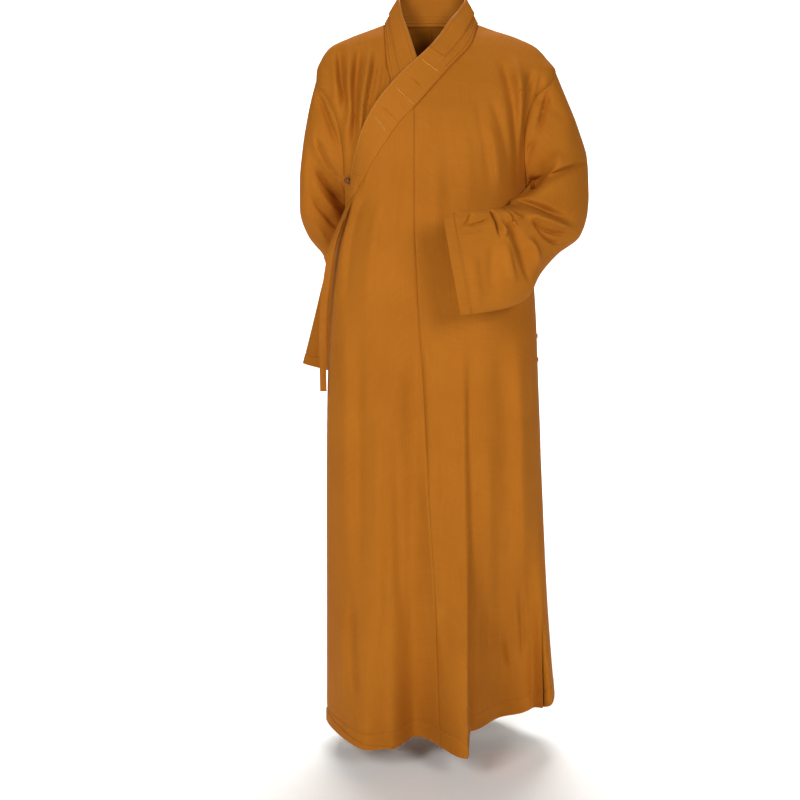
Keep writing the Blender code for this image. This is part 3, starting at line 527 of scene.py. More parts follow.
def stitches(name, path, normal, material, pitch=0.0042, length=0.0028, width=0.0006, proud=0.0002):
    # a short flat block at each pitch of the path's running length, laid along
    # the path and moved out along the cloth's normal
    run = np.concatenate([[0.0], np.cumsum(np.linalg.norm(np.diff(path, axis=0), axis=-1))])
    places = np.arange(pitch / 2, run[-1] - pitch / 2, pitch)

    def at(values, where):
        return np.stack([np.interp(where, run, values[:, k]) for k in range(3)], axis=-1)

    middle, out = at(path, places), at(normal, places)
    ahead = at(path, places + length / 2) - at(path, places - length / 2)
    ahead /= np.linalg.norm(ahead, axis=-1, keepdims=True)
    out -= np.sum(out * ahead, axis=-1, keepdims=True) * ahead
    out /= np.linalg.norm(out, axis=-1, keepdims=True)
    side = np.cross(ahead, out)
    low = [(-1, -1, 0), (1, -1, 0), (1, 1, 0), (-1, 1, 0)]
    high = [(-0.7, -0.5, 1), (0.7, -0.5, 1), (0.7, 0.5, 1), (-0.7, 0.5, 1)]
    corners = []
    for a, b, c in low + high:
        height = proud + c * width * 0.7 - 0.0002
        corners.append(middle + ahead * a * length / 2 + side * b * width / 2 + out * height)
    points = np.stack(corners, axis=1)
    block = np.array([(0, 1, 2, 3), (4, 7, 6, 5), (0, 4, 5, 1), (1, 5, 6, 2), (2, 6, 7, 3), (3, 7, 4, 0)])
    faces = (np.arange(len(places))[:, None, None] * 8 + block[None]).reshape(-1, 4).tolist()
    return addMesh(name, points, faces, material, smooth=False)


def gridQuads(numbers):  # the quads between a grid of point numbers
    corners = [numbers[:-1, :-1], numbers[:-1, 1:], numbers[1:, 1:], numbers[1:, :-1]]
    return np.stack(corners, axis=-1).reshape(-1, 4)


def settle(item, node, sewn=()):  # on its body, in place of its node, with what is sewn to it
    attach(item, "root")
    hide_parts(node)
    for piece in sewn:
        piece.parent = item


def tube(name, path, radius, material, sides=8, closed=False):
    # circle of this radius carried along the path, square to it at each point
    ahead = np.gradient(path, axis=0)
    if closed:
        ahead = np.roll(path, -1, axis=0) - np.roll(path, 1, axis=0)
    ahead /= np.linalg.norm(ahead, axis=-1, keepdims=True)
    lead = np.array([0.31, 0.52, 0.79])
    one = np.cross(ahead, lead)
    one /= np.linalg.norm(one, axis=-1, keepdims=True)
    two = np.cross(ahead, one)
    turn = np.linspace(0, 2 * math.pi, sides, endpoint=False)
    ring = one[:, None] * np.cos(turn)[None, :, None] + two[:, None] * np.sin(turn)[None, :, None]
    points = path[:, None] + np.reshape(radius, (-1, 1, 1)) * ring
    count = len(path)
    numbers = np.arange(count * sides).reshape(count, sides)
    numbers = np.hstack([numbers, numbers[:, :1]])
    if closed:
        numbers = np.vstack([numbers, numbers[:1]])
    faces = gridQuads(numbers).tolist()
    if not closed:
        faces += [numbers[0, :-1][::-1].tolist(), numbers[-1, :-1].tolist()]
    return addMesh(name, points, faces, material)


# materials

def linear(hexColour):  # sRGB hex -> linear RGBA
    parts = [int(hexColour[i : i + 2], 16) / 255 for i in (0, 2, 4)]
    return [p / 12.92 if p <= 0.04045 else ((p + 0.055) / 1.055) ** 2.4 for p in parts] + [1.0]


def addNode(tree, kind, settings=None, links=None):
    # one node with its properties and values, and links {socket: output socket}
    node = tree.nodes.new(kind)
    for key, value in (settings or {}).items():
        if isinstance(key, str) and hasattr(node, key):
            setattr(node, key, value)
        else:
            node.inputs[key].default_value = value
    for key, socket in (links or {}).items():
        tree.links.new(socket, node.inputs[key])
    return node


def plainWeave(name, look):
    # polyester-cotton plain weave, dyed ochre: a matt cloth with a low soft
    # sheen; warp and weft slubs show as faint streaks and give the light a
    # dry, slightly broken edge
    material = bpy.data.materials.new(name)
    material.use_nodes = True
    tree = material.node_tree
    shader = tree.nodes["Principled BSDF"]
    shader.inputs["Sheen Weight"].default_value = look["sheen"]
    shader.inputs["Sheen Roughness"].default_value = 0.45
    shader.inputs["Sheen Tint"].default_value = linear(look["light"])
    shader.inputs["IOR"].default_value = 1.25
    shader.inputs["Specular IOR Level"].default_value = look["gloss"]
    place = addNode(tree, "ShaderNodeTexCoord")
    # thread runs, drawn 1.4 mm wide where the real threads are 0.4 mm
    warp = addNode(tree, "ShaderNodeMapping", {"Scale": (700, 14, 1)}, {"Vector": place.outputs["UV"]})
    weft = addNode(tree, "ShaderNodeMapping", {"Scale": (14, 700, 1)}, {"Vector": place.outputs["UV"]})
    slubs = {"Scale": 1.0, "Detail": 2.0}
    warpSlub = addNode(tree, "ShaderNodeTexNoise", slubs, {"Vector": warp.outputs["Vector"]})
    weftSlub = addNode(tree, "ShaderNodeTexNoise", slubs, {"Vector": weft.outputs["Vector"]})
    weave = addNode(
        tree, "ShaderNodeMath", {"operation": "MULTIPLY"}, {0: warpSlub.outputs[0], 1: weftSlub.outputs[0]}
    )
    broad = addNode(
        tree, "ShaderNodeTexNoise", {"Scale": 7.0, "Detail": 3.0}, {"Vector": place.outputs["Object"]}
    )
    dye = addNode(tree, "ShaderNodeMix", {"data_type": "RGBA"}, {"Factor": broad.outputs[0]})
    dye.inputs[6].default_value = linear(look["deep"])
    dye.inputs[7].default_value = linear(look["mid"])
    lightShare = addNode(
        tree, "ShaderNodeMapRange",
        {"From Min": 0.12, "From Max": 0.42, "To Min": 0.0, "To Max": look["streak"]},
        {"Value": weave.outputs[0]},
    )
    colour = addNode(
        tree, "ShaderNodeMix", {"data_type": "RGBA"}, {"Factor": lightShare.outputs[0], 6: dye.outputs[2]}
    )
    colour.inputs[7].default_value = linear(look["light"])
    tree.links.new(colour.outputs[2], shader.inputs["Base Color"])
    rough = addNode(
        tree, "ShaderNodeMapRange", {"To Min": look["rough"] - 0.06, "To Max": look["rough"] + 0.06},
        {"Value": weave.outputs[0]},
    )
    tree.links.new(rough.outputs[0], shader.inputs["Roughness"])
    crumple = addNode(
        tree, "ShaderNodeTexNoise", {"Scale": 38.0, "Detail": 3.0}, {"Vector": place.outputs["Object"]}
    )
    coarse = addNode(
        tree, "ShaderNodeBump", {"Strength": 0.10, "Distance": 0.004}, {"Height": crumple.outputs[0]}
    )
    fine = addNode(
        tree, "ShaderNodeBump", {"Strength": 0.35, "Distance": 0.0006},
        {"Height": weave.outputs[0], "Normal": coarse.outputs[0]},
    )
    tree.links.new(fine.outputs[0], shader.inputs["Normal"])
    return material


def twistedThread(name, look):
    # spun sewing thread or cord: a little glossier than the cloth, with a fine
    # twist that catches the light
    material = bpy.data.materials.new(name)
    material.use_nodes = True
    tree = material.node_tree
    shader = tree.nodes["Principled BSDF"]
    shader.inputs["Sheen Weight"].default_value = 0.03
    shader.inputs["IOR"].default_value = 1.35
    shader.inputs["Roughness"].default_value = look["rough"]
    place = addNode(tree, "ShaderNodeTexCoord")
    twist = addNode(
        tree, "ShaderNodeTexNoise", {"Scale": look["grain"], "Detail": 2.0},
        {"Vector": place.outputs["Object"]},
    )
    colour = addNode(tree, "ShaderNodeMix", {"data_type": "RGBA"}, {"Factor": twist.outputs[0]})
    colour.inputs[6].default_value = linear(look["deep"])
    colour.inputs[7].default_value = linear(look["mid"])
    tree.links.new(colour.outputs[2], shader.inputs["Base Color"])
    bump = addNode(
        tree, "ShaderNodeBump", {"Strength": 0.4, "Distance": 0.0005}, {"Height": twist.outputs[0]}
    )
    tree.links.new(bump.outputs[0], shader.inputs["Normal"])
    return material


robeCloth = plainWeave("plain_weave_ochre", {
    "deep": "9E5B16", "mid": "B26B1E", "light": "C88330", "streak": 0.22,
    "rough": 0.72, "sheen": 0.01, "gloss": 0.12,
})
collarCloth = plainWeave("layered_weave_ochre", {
    "deep": "A05D18", "mid": "B46D20", "light": "CA8634", "streak": 0.2,
    "rough": 0.70, "sheen": 0.01, "gloss": 0.12,
})
ribbonCloth = plainWeave("woven_ribbon_ochre", {
    "deep": "925212", "mid": "A4601A", "light": "BE7C2C", "streak": 0.4,
    "rough": 0.62, "sheen": 0.04, "gloss": 0.2,
})
darkThread = twistedThread("sewing_thread_brown", {
    "deep": "7A4310", "mid": "8C5118", "rough": 0.6, "grain": 900.0,
})
# gold thread for the band's light tucks: real stitching, laid nearly solid so that it also paints the
# highlight on the tucks' lit ledges
goldThreadAndHighlight = twistedThread("gold_thread_and_painted_highlight", {
    "deep": "CC8C38", "mid": "E0A652", "rough": 0.55, "grain": 900.0,
})
# rolled edge cord, coloured lighter than the band: a painted highlight along the collar's free edge
highlightEdgeCord = twistedThread("rolled_edge_painted_highlight", {
    "deep": "A8641A", "mid": "BC7A2A", "rough": 0.62, "grain": 400.0,
})
knotCord = twistedThread("knot_cord_brown", {
    "deep": "5A2E0C", "mid": "8E5A26", "rough": 0.5, "grain": 700.0,
})
print("materials made")


# body panels

def collarSeam(step, side=1.0):  # angle and height of the collar seam
    height = readRows(collar, step, "seamZ")
    return np.stack([side * bodyAngle(readRows(collar, step, "seamX"), height), height], axis=-1)


def neckSeam(step):  # the same behind the neck
    angle = -math.pi * (step - neckLeft) / (neckRight - neckLeft)
    return np.stack([angle, np.full_like(angle, neckHeight)], axis=-1)


def hemHeight(angle):  # lowest in front and behind, rise * |cos|^3 higher at the sides
    across = np.cos(angle)
    return hem["height"] + np.where(across > 0, hem["leftRise"], hem["rightRise"]) * np.abs(across) ** 3


def armholeLine(hole, share, atLeft, inFront):
    # half oval from the shoulder to the underarm: height by cosine, depth by sine
    height = hole["top"] + (hole["bottom"] - hole["top"]) * (1 - np.cos(math.pi * share)) / 2
    depth = along(height, body["height"], body["front" if inFront else "back"])
    power = along(height, body["height"], body["power"])
    reach = np.clip(hole["depth"] * np.sin(math.pi * share) / np.maximum(depth, 0.02), 0.0, 1.0)
    angle = np.arcsin(reach ** (power / 2))
    angle = angle if atLeft else math.pi - angle
    return np.stack([angle if inFront else -angle, height], axis=-1)


def panelRows():
    upper = np.linspace(0.0, armholeShare, rows["armhole"] + 1)
    return joinLines(upper, armholeShare + (1 - armholeShare) * skirtShares)


def slitShares(shares):  # 0 above the side slit, easing to 1 at the hem
    return smoothStep((shares - slitForm["top"]) / (1 - slitForm["top"]))


def sideLine(topHeight, atLeft, inFront, slit=False):
    # along the slit the back runs on under the front's edge by the tuck
    angle = np.full_like(skirtShares, 0.0 if atLeft else math.pi)
    if slit:
        level = topHeight + (hem["height"] - topHeight) * skirtShares
        angle = np.radians(along(level, slitEdge["height"], slitEdge["angle"]))
        tuck = 0.0 if inFront else slitForm["tuck"]
        angle = angle + tuck * smoothStep((skirtShares - slitForm["top"]) / 0.25)
    height = topHeight + (hemHeight(angle[-1]) - topHeight) * skirtShares
    return np.stack([angle if inFront or slit else -angle, height], axis=-1)


def lowerHeights(topHeight):
    upper = np.linspace(topHeight, levelHeight, rows["armhole"] - rows["seam"] + 1)
    return joinLines(upper, levelHeight + (hem["height"] - levelHeight) * skirtShares)


def edgeLine(edge, topHeight):
    height = lowerHeights(topHeight)
    return np.stack([bodyAngle(along(height, edge["height"], edge["x"]), height), height], axis=-1)


def hemLine(fromAngle, toAngle, across):
    angle = fromAngle + (toAngle - fromAngle) * across
    return np.stack([angle, hemHeight(angle)], axis=-1)


def shoulderLine(topHeight, angle, across):
    height = neckHeight + (topHeight - neckHeight) * across
    return np.stack([np.full_like(height, angle), height], axis=-1)


def fitHem(line):
    line = line.copy()
    line[-1, 1] = hemHeight(line[-1, 0])
    return line


def frontLeftPatch():
    across = np.interp(edgeShares(columns["front"]), [0.0, 0.28, 0.58, 1.0], [0.0, 0.2, 0.32, 1.0])
    upper = collarSeam(np.linspace(neckLeft, centreTop, rows["seam"] + 1))
    left = fitHem(joinLines(upper, edgeLine(centreSeam, upper[-1, 1])))
    hole = armholeLine(leftArmhole, np.linspace(0, 1, rows["armhole"] + 1), True, True)
    right = joinLines(hole, sideLine(leftArmhole["bottom"], True, True, slit=True))
    top = shoulderLine(leftArmhole["top"], 0.0, across)
    bottom = hemLine(left[-1, 0], right[-1, 0], across)
    return coonsPatch(top, bottom, left, right, across, panelRows())


def overlapPatch():
    across = edgeShares(columns["overlap"], end=False)
    top = collarSeam(centreTop + (collarEnd - centreTop) * across)
    heights = lowerHeights(top[0, 1])
    down = (heights - heights[0]) / (heights[-1] - heights[0])
    left = fitHem(edgeLine(centreSeam, top[0, 1]))
    height = top[-1, 1] + (hem["height"] - top[-1, 1]) * down
    edge = np.radians(along(height, overlapEdge["height"], overlapEdge["angle"]))
    edge[0] = top[-1, 0]
    right = fitHem(np.stack([edge, height], axis=-1))
    bottom = hemLine(left[-1, 0], right[-1, 0], across)
    return coonsPatch(top, bottom, left, right, across, down), across, down


def underPatch():
    across = edgeShares(columns["under"])
    upper = collarSeam(np.linspace(neckRight, underEnd, rows["seam"] + 1))
    left = fitHem(joinLines(upper, edgeLine(underEdge, upper[-1, 1])))
    hole = armholeLine(rightArmhole, np.linspace(0, 1, rows["armhole"] + 1), False, True)
    right = joinLines(hole, sideLine(rightArmhole["bottom"], False, True))
    top = shoulderLine(rightArmhole["top"], math.pi, across)
    bottom = hemLine(left[-1, 0], right[-1, 0], across)
    return coonsPatch(top, bottom, left, right, across, panelRows()), across


def underLift(across, down):  # drops behind the overlap, level with it at the shoulder
    inward = smoothStep((1 - across) / 0.4)
    below = smoothStep(down / 0.08) * (underDrop["top"] + underDrop["hem"] * down)
    beside = smoothStep((across - sideForm["from"]) / (1 - sideForm["from"]))
    return -below[:, None] * inward[None, :] - sideHollow(down)[:, None] * beside[None, :]


def sideHollow(down):  # beside the tie the cloth sinks in behind the overlap's edge
    return sideForm["hollow"] * smoothStep((down - 0.205) / 0.06) * smoothStep((0.62 - down) / 0.3)


def backPatch(atLeft):
    across = edgeShares(columns["back"])
    hole = leftArmhole if atLeft else rightArmhole
    sideAngle = 0.0 if atLeft else math.pi
    upper = neckSeam(np.linspace(neckLeft if atLeft else neckRight, neckBack, rows["seam"] + 1))
    height = lowerHeights(neckHeight)
    left = joinLines(upper, np.stack([np.full_like(height, -math.pi / 2), height], axis=-1))
    armhole = armholeLine(hole, np.linspace(0, 1, rows["armhole"] + 1), atLeft, False)
    right = joinLines(armhole, sideLine(hole["bottom"], atLeft, False, slit=atLeft))
    top = shoulderLine(hole["top"], -sideAngle, across)
    bottom = hemLine(left[-1, 0], right[-1, 0], across)
    return coonsPatch(top, bottom, left, right, across, panelRows())


def orientOut(outer, normal, tube=False):
    # turn grid normals so that they agree with the form's own outward ones
    found = gridNormals(outer, tube)
    return found if np.sum(found * normal) > 0 else -found


def panel(name, node, patch, lift, centre, folds, tacks=()):
    angle, height = patch[..., 0], patch[..., 1]
    normal = plainNormals(angle, height)
    outer = bodyShape(angle, height, folds) + lift[..., None] * normal
    edges = {"top": seam["topDip"], "left": seam["dip"] if centre == "front" else seam["backDip"]}
    outer = finishPanel(outer, normal, edges, seam["gap"] if centre == "front" else 0.0)
    lineRow = len(outer) - 1 - rows["hem"]
    outer = hemBand(outer, normal, lineRow)
    if orientOut(outer, normal)[0, 0] @ gridNormals(outer)[0, 0] < 0:
        outer, normal = outer[:, ::-1], normal[:, ::-1]
    item = clothShell(name, outer, wall["cloth"], robeCloth)
    sewing = stitches(name + "Stitches", outer[lineRow], normal[lineRow], darkThread)
    sewn = [sewing]
    side = 6 if outer[lineRow, 0, 0] > outer[lineRow, -1, 0] else -7
    for number, height in enumerate(tacks):  # short bar tacks near the side edge
        near = np.abs(outer[:, side, 2] - height) < tack["half"]
        sewn.append(stitches(f"{name}Tack{number + 1}", outer[near, side], normal[near, side], darkThread,
                             pitch=tack["pitch"], length=tack["length"], width=tack["width"], proud=0.0))
    settle(item, node, sewn)


tack = {"half": 0.007, "pitch": 0.0016, "length": 0.0018, "width": 0.0030}
wall = {"cloth": 0.0010, "collar": 0.0028, "guard": 0.0012, "tie": 0.0009}

frontPatch = frontLeftPatch()
slitShare = smoothStep((np.linspace(0, 1, frontPatch.shape[1]) - 0.8) / 0.2)
slitLift = slitForm["lift"] * slitShares(panelRows())
panel(
    "frontLeft", "front_left", frontPatch, slitLift[:, None] * slitShare[None, :],
    "front", frontCreases, tacks=(-0.590, -0.637),
)
overlapGridPatch, overlapAcross, overlapDown = overlapPatch()
lift = overlapLift * smoothStep((overlapAcross - 0.6) / 0.4)[None, :] * smoothStep(overlapDown / 0.1)[:, None]
panel(
    "frontOverlap", "front_overlap", overlapGridPatch, lift,
    "front", frontCreases,
)
underGridPatch, underAcross = underPatch()
panel(
    "frontRight", "front_right", underGridPatch, underLift(underAcross, panelRows()),
    "front", underCreases,
)
for side, atLeft in (("Left", True), ("Right", False)):
    backGridPatch = backPatch(atLeft)
    nearSide = smoothStep((edgeShares(columns["back"]) - 0.86) / 0.14)[None, :]
    sunk = slitForm["drop"] * slitShares(panelRows()) if atLeft else sideHollow(panelRows())
    backLift = -nearSide * sunk[:, None]
    panel(
        "back" + side, "back_" + side.lower(), backGridPatch, backLift,
        "back", frontCreases,
    )
print("body panels made")


# sleeves

sleeveColumns = "outX outY outZ inX inY inZ front back turn"
leftSleeve = table(
    sleeveColumns,
    [
        (0.235, 0.000, -0.085, 0.181, 0.000, -0.316, 0.068, 0.062, 0),
        (0.254, 0.000, -0.130, 0.195, -0.026, -0.304, 0.068, 0.056, 4),
        (0.277, 0.000, -0.187, 0.186, -0.078, -0.302, 0.062, 0.046, 10),
        (0.295, -0.010, -0.253, 0.164, -0.110, -0.312, 0.056, 0.040, 16),
        (0.296, -0.022, -0.305, 0.147, -0.124, -0.320, 0.054, 0.036, 20),
        (0.291, -0.040, -0.346, 0.144, -0.138, -0.326, 0.050, 0.031, 28),
        (0.273, -0.065, -0.392, 0.137, -0.155, -0.328, 0.047, 0.027, 34),
        (0.228, -0.095, -0.424, 0.131, -0.168, -0.329, 0.042, 0.025, 38),
        (0.193, -0.125, -0.461, 0.124, -0.180, -0.330, 0.037, 0.023, 40),
        (0.172, -0.150, -0.498, 0.113, -0.191, -0.330, 0.032, 0.021, 41),
        (0.134, -0.180, -0.513, 0.095, -0.203, -0.331, 0.027, 0.018, 41),
        (0.095, -0.205, -0.517, 0.056, -0.220, -0.332, 0.018, 0.013, 24),
        (0.050, -0.228, -0.520, 0.017, -0.242, -0.339, 0.013, 0.010, -8),
    ],
)
rightSleeve = table(
    sleeveColumns,
    [
        (-0.218, 0.000, -0.100, -0.167, 0.000, -0.312, 0.060, 0.056, 0),
        (-0.232, 0.000, -0.150, -0.168, 0.002, -0.312, 0.058, 0.058, 0),
        (-0.246, 0.005, -0.221, -0.158, 0.064, -0.338, 0.050, 0.056, 4),
        (-0.253, 0.012, -0.290, -0.158, 0.098, -0.366, 0.044, 0.054, 12),
        (-0.252, 0.025, -0.345, -0.155, 0.112, -0.404, 0.038, 0.048, 25),
        (-0.234, 0.055, -0.400, -0.142, 0.130, -0.440, 0.030, 0.044, 38),
        (-0.204, 0.092, -0.452, -0.118, 0.158, -0.478, 0.026, 0.040, 37),
        (-0.222, 0.128, -0.520, -0.085, 0.176, -0.555, 0.026, 0.034, 20),
        (-0.243, 0.148, -0.600, -0.060, 0.182, -0.645, 0.026, 0.030, 11),
        (-0.261, 0.155, -0.669, -0.045, 0.182, -0.722, 0.026, 0.028, 7),
    ],
)
armholeFade = 1.6

leftSleeveCreases = creaseTable(
    2.4,
    [
        (224, -87, 213, -147, 194, -207, 6, -6, 0.3),
        (194, -207, 178, -244, 171, -285, 6, -6, 0.3),
        (312, -244, 220, -272, 151, -313, 9, -8, -0.5),
        (199, -278, 174, -290, 151, -313, 6, -5, -0.3),
        (239, -229, 224, -248, 198, -262, 10, 3, 0),
        (146, -321, 189, -330, 264, -362, 7, -9, -0.3),
        (163, -338, 208, -353, 263, -373, 6, 5, 0),
        (179, -342, 209, -371, 271, -380, 5, -5, 0.3),
        (187, -353, 211, -386, 248, -398, 4, -4, 0.3),
        (124, -325, 109, -331, 87, -332, 4, -4, 0.3),
        (102, -332, 115, -351, 121, -382, 3.2, -8, 0.1),
        (117, -349, 125, -365, 127, -380, 2.8, 3.5, 0),
        (121, -327, 136, -346, 154, -365, 3.4, 5, 0),
        (136, -327, 144, -342, 165, -346, 3.0, 3.5, 0),
        (128, -324, 138, -344, 150, -362, 3.0, -5, 0.3),
        (134, -349, 156, -391, 182, -471, 8, -8, 0.3),
        (165, -384, 184, -406, 191, -445, 7, 4, 0),
        (129, -387, 135, -424, 149, -471, 8, 2.5, 0),
        (110, -387, 107, -433, 111, -491, 10, -2, 0),
        (68, -400, 75, -455, 87, -510, 10, 1.6, 0),
        (64, -349, 75, -355, 118, -338, 3.5, -3, 0.5),
        (66, -334, 64, -349, 49, -365, 3.0, -2.5, 0.3),
        (37, -372, 70, -368, 102, -363, 3.0, -1.4, 0.4),
    ],
)
leftSleeveBackCreases = creaseTable(
    2.1,
    [
        (214, -90, 206, -150, 194, -230, 8, -6, 0.2),
        (240, -120, 236, -180, 222, -260, 9, 4, 0),
        (286, -240, 250, -262, 204, -282, 6, -6, -0.5),
        (280, -300, 250, -320, 210, -330, 7, -6, 0.3),
        (270, -350, 240, -352, 204, -345, 8, 5, 0),
        (220, -400, 196, -380, 172, -352, 7, -5, 0),
        (160, -460, 150, -420, 140, -370, 8, -4, 0),
    ],
)
rightSleeveCreases = creaseTable(
    2.0,
    [
        (-224, -85, -200, -150, -166, -240, 8, -7, 0.4),
        (-222, -190, -197, -250, -158, -300, 7, -9, 0.3),
        (-232, -165, -214, -228, -180, -286, 10, 4, 0),
        (-222, -256, -196, -300, -163, -338, 6.5, -8, 0.3),
        (-232, -276, -206, -322, -172, -360, 8, 3.5, 0),
        (-230, -312, -205, -350, -172, -388, 7, -5, 0.3),
        (-246, -330, -223, -376, -196, -420, 8, 3, 0.3),
        (-238, -230, -242, -285, -240, -330, 10, 2, 0),
    ],
)
rightSleeveBackCreases = creaseTable(
    2.1,
    [
        (-210, -100, -200, -170, -184, -240, 7, -6, 0.2),
        (-236, -150, -230, -210, -214, -270, 8, 4, 0),
        (-250, -330, -220, -360, -180, -380, 6, -8, -0.4),
        (-246, -370, -216, -392, -176, -400, 6, 5, 0),
        (-240, -400, -206, -420, -160, -430, 6, -6, 0.3),
        (-214, -440, -190, -452, -140, -452, 7, 4, 0),
        (-214, -500, -180, -540, -120, -560, 7, -5, 0),
        (-200, -560, -190, -620, -180, -700, 9, -4, 0),
        (-150, -540, -140, -620, -132, -710, 9, 4, 0),
        (-110, -560, -100, -640, -92, -720, 8, -3, 0),
    ],
)


def sleeveShape(sleeve, hole, atLeft, front, back, around, step):
    # an oval tube: middle + half * cos + face * depth * sin between the outer
    # and inner lines; near the armhole it blends into the armhole line, and the
    # creases move it along the way its front faces
    def oval(turnAround, at):
        outer = np.stack([readRows(sleeve, at, n) for n in ("outX", "outY", "outZ")], axis=-1)
        inner = np.stack([readRows(sleeve, at, n) for n in ("inX", "inY", "inZ")], axis=-1)
        turn = np.radians(readRows(sleeve, at, "turn"))
        face = np.stack([np.sin(turn), -np.cos(turn), np.zeros_like(turn)], axis=-1)
        swing = np.sin(math.pi * turnAround)
        depth = np.where(swing > 0, readRows(sleeve, at, "front"), readRows(sleeve, at, "back")) * swing
        half = (outer - inner) / 2
        ring = (outer + inner) / 2 + half * np.cos(math.pi * turnAround)[..., None]
        return ring + face * depth[..., None], face

    share = np.where(around <= 1.0, around, 2.0 - around)
    frontLine = armholeLine(hole, share, atLeft, True)
    backLine = armholeLine(hole, share, atLeft, False)
    line = np.where((around <= 1.0)[..., None], frontLine, backLine)
    joint = bodyShape(line[..., 0], line[..., 1])
    fade = 1 - smoothStep(step / armholeFade)
    points, face = oval(around, step)
    points = points + (joint - oval(around, np.zeros_like(step))[0]) * fade[..., None]
    x, z = points[..., 0], points[..., 2]
    facing = np.sin(math.pi * around)
    frontPush = creases(x, z, front) * smoothStep(facing * 2)
    backPush = creases(x, z, back) * smoothStep(-facing * 2)
    push = (frontPush - backPush) * smoothStep(step / 0.5)
    push += unevenness(x, z, 8, 0.0008) * facing * smoothStep(step / 0.5)
    return points + push[..., None] * face


def makeSleeve(name, node, sleeve, hole, atLeft, front, back, count):
    last = len(sleeve["turn"]) - 1
    close = [0.0, 0.012, 0.035]
    middle, cuffRows = np.linspace(0.07, last - 0.5, count), np.linspace(last - 0.5, last, 26)[1:]
    steps = np.concatenate([close, middle, cuffRows])
    turns = np.arange(columns["sleeve"]) * 2 / columns["sleeve"]
    around, step = np.meshgrid(turns, steps)
    outer = sleeveShape(sleeve, hole, atLeft, front, back, around, step)
    normal = gridNormals(outer, True)
    if np.sum(normal * (outer - outer.mean(axis=1, keepdims=True))) < 0:
        outer, normal = outer[:, ::-1], -normal[:, ::-1]
    fromTop = lengthsAlong(outer, 0)
    dip = seam["backDip"] * np.exp(-((fromTop / seam["reach"]) ** 2))
    outer = outer - dip[..., None] * normal
    fromEnd = fromTop[-1:] - fromTop
    push = cuff["proud"] * smoothStep((cuff["line"] - fromEnd) / cuff["rise"])
    push -= cuff["groove"] * np.exp(-(((fromEnd - cuff["line"]) / cuff["grooveWidth"]) ** 2))
    outer = outer + push[..., None] * normal
    outer[0] = outer[0] + (outer[1] - outer[0]) * 0.2
    item = clothShell(name, outer, wall["cloth"], robeCloth, tube=True)
    lineRow = int(np.argmin(np.abs(fromEnd.mean(axis=1) - cuff["line"])))
    loop = np.vstack([outer[lineRow], outer[lineRow, :1]])
    loopNormal = np.vstack([normal[lineRow], normal[lineRow, :1]])
    sewing = stitches(name + "Stitches", loop, loopNormal, darkThread)
    settle(item, node, [sewing])


cuff = {"line": 0.022, "proud": 0.0005, "rise": 0.003, "groove": 0.0005, "grooveWidth": 0.0018}
makeSleeve(
    "sleeveLeft", "sleeve_left", leftSleeve, leftArmhole, True,
    leftSleeveCreases, leftSleeveBackCreases, 190,
)
makeSleeve(
    "sleeveRight", "sleeve_right", rightSleeve, rightArmhole, False,
    rightSleeveCreases, rightSleeveBackCreases, 190,
)
print("sleeves made")


# collar

collarForm = {
    "proud": 0.0012, "crown": 0.0022,
    "lines": (0.70, 0.80, 0.90), "lineDepth": 0.0011, "lineWidth": 0.018, "linesFrom": 7.2,
    "roll": 0.0005, "rollOff": 0.04, "rollWidth": 0.03,
    "edgeLine": 0.06, "edgeDepth": 0.0006, "edgeWidth": 0.012, "seamDepth": 0.0008, "seamWidth": 0.02,
}
guardForm = {"from": 7.85, "to": 22.8, "share": 0.62, "off": 0.0006, "proud": 0.0012}

# sewn tucks across the band, in mm from the front: light ones are ridges with gold thread, dark ones are
# grooves;
# the gold thread, laid nearly solid, is real stitching and also a painted highlight on the ridges' lit ledges
bandMarks = creaseTable(
    1.5,
    [
        (-21, -62, -4, -74, 14, -88, 1.6, 0.9, 0.5),
        (-46, -90, -30, -104, -15, -117, 1.6, -1.3, 0.5),
        (-68, -113, -50, -130, -31, -148, 1.6, 0.9, 0.5),
        (-97, -146, -78, -161, -60, -177, 1.6, -1.3, 0.5),
        (-106, -165, -96, -180, -84, -196, 1.6, 0.4, 0.3),
        (-153, -270, -140, -273, -125, -275, 1.6, -1.2, 0.5),
    ],
)
bandHighlightThreads = [
    ((-20, -64), (12, -87)),
    ((-67, -115), (-33, -147)),
    ((-105, -167), (-86, -194)),
]


def collarGrid(steps, shares):
    # straight lines from the free edge to the seam, crowned by
    # crown * 4 share (1 - share); at the seam the normals are the body's own
    onChest = steps <= neckLeft
    behind = (steps > neckLeft) & (steps < neckRight)
    line = np.where(behind[:, None], neckSeam(steps), collarSeam(steps))
    points = bodyShape(line[:, 0], line[:, 1])
    seamNormal = plainNormals(line[:, 0], line[:, 1])
    down = armholeShare * rows["seam"] / rows["armhole"]
    down = down * np.clip((steps - neckRight) / (underEnd - neckRight), 0, 1)
    drop = smoothStep(down / 0.08) * (underDrop["top"] + underDrop["hem"] * down)
    drop = np.where(onChest | behind, 0.0, drop)
    points = points - drop[:, None] * seamNormal
    edge = np.stack([readRows(collar, steps, n) for n in ("edgeX", "edgeY", "edgeZ")], axis=-1)
    share = shares[None, :, None]
    grid = edge[:, None] + (points - edge)[:, None] * share
    weight = share**3
    found = gridNormals(grid)
    found = found if np.sum(found * seamNormal[:, None]) > 0 else -found
    normal = found * (1 - weight) + seamNormal[:, None] * weight
    normal /= np.linalg.norm(normal, axis=-1, keepdims=True)
    return grid, normal


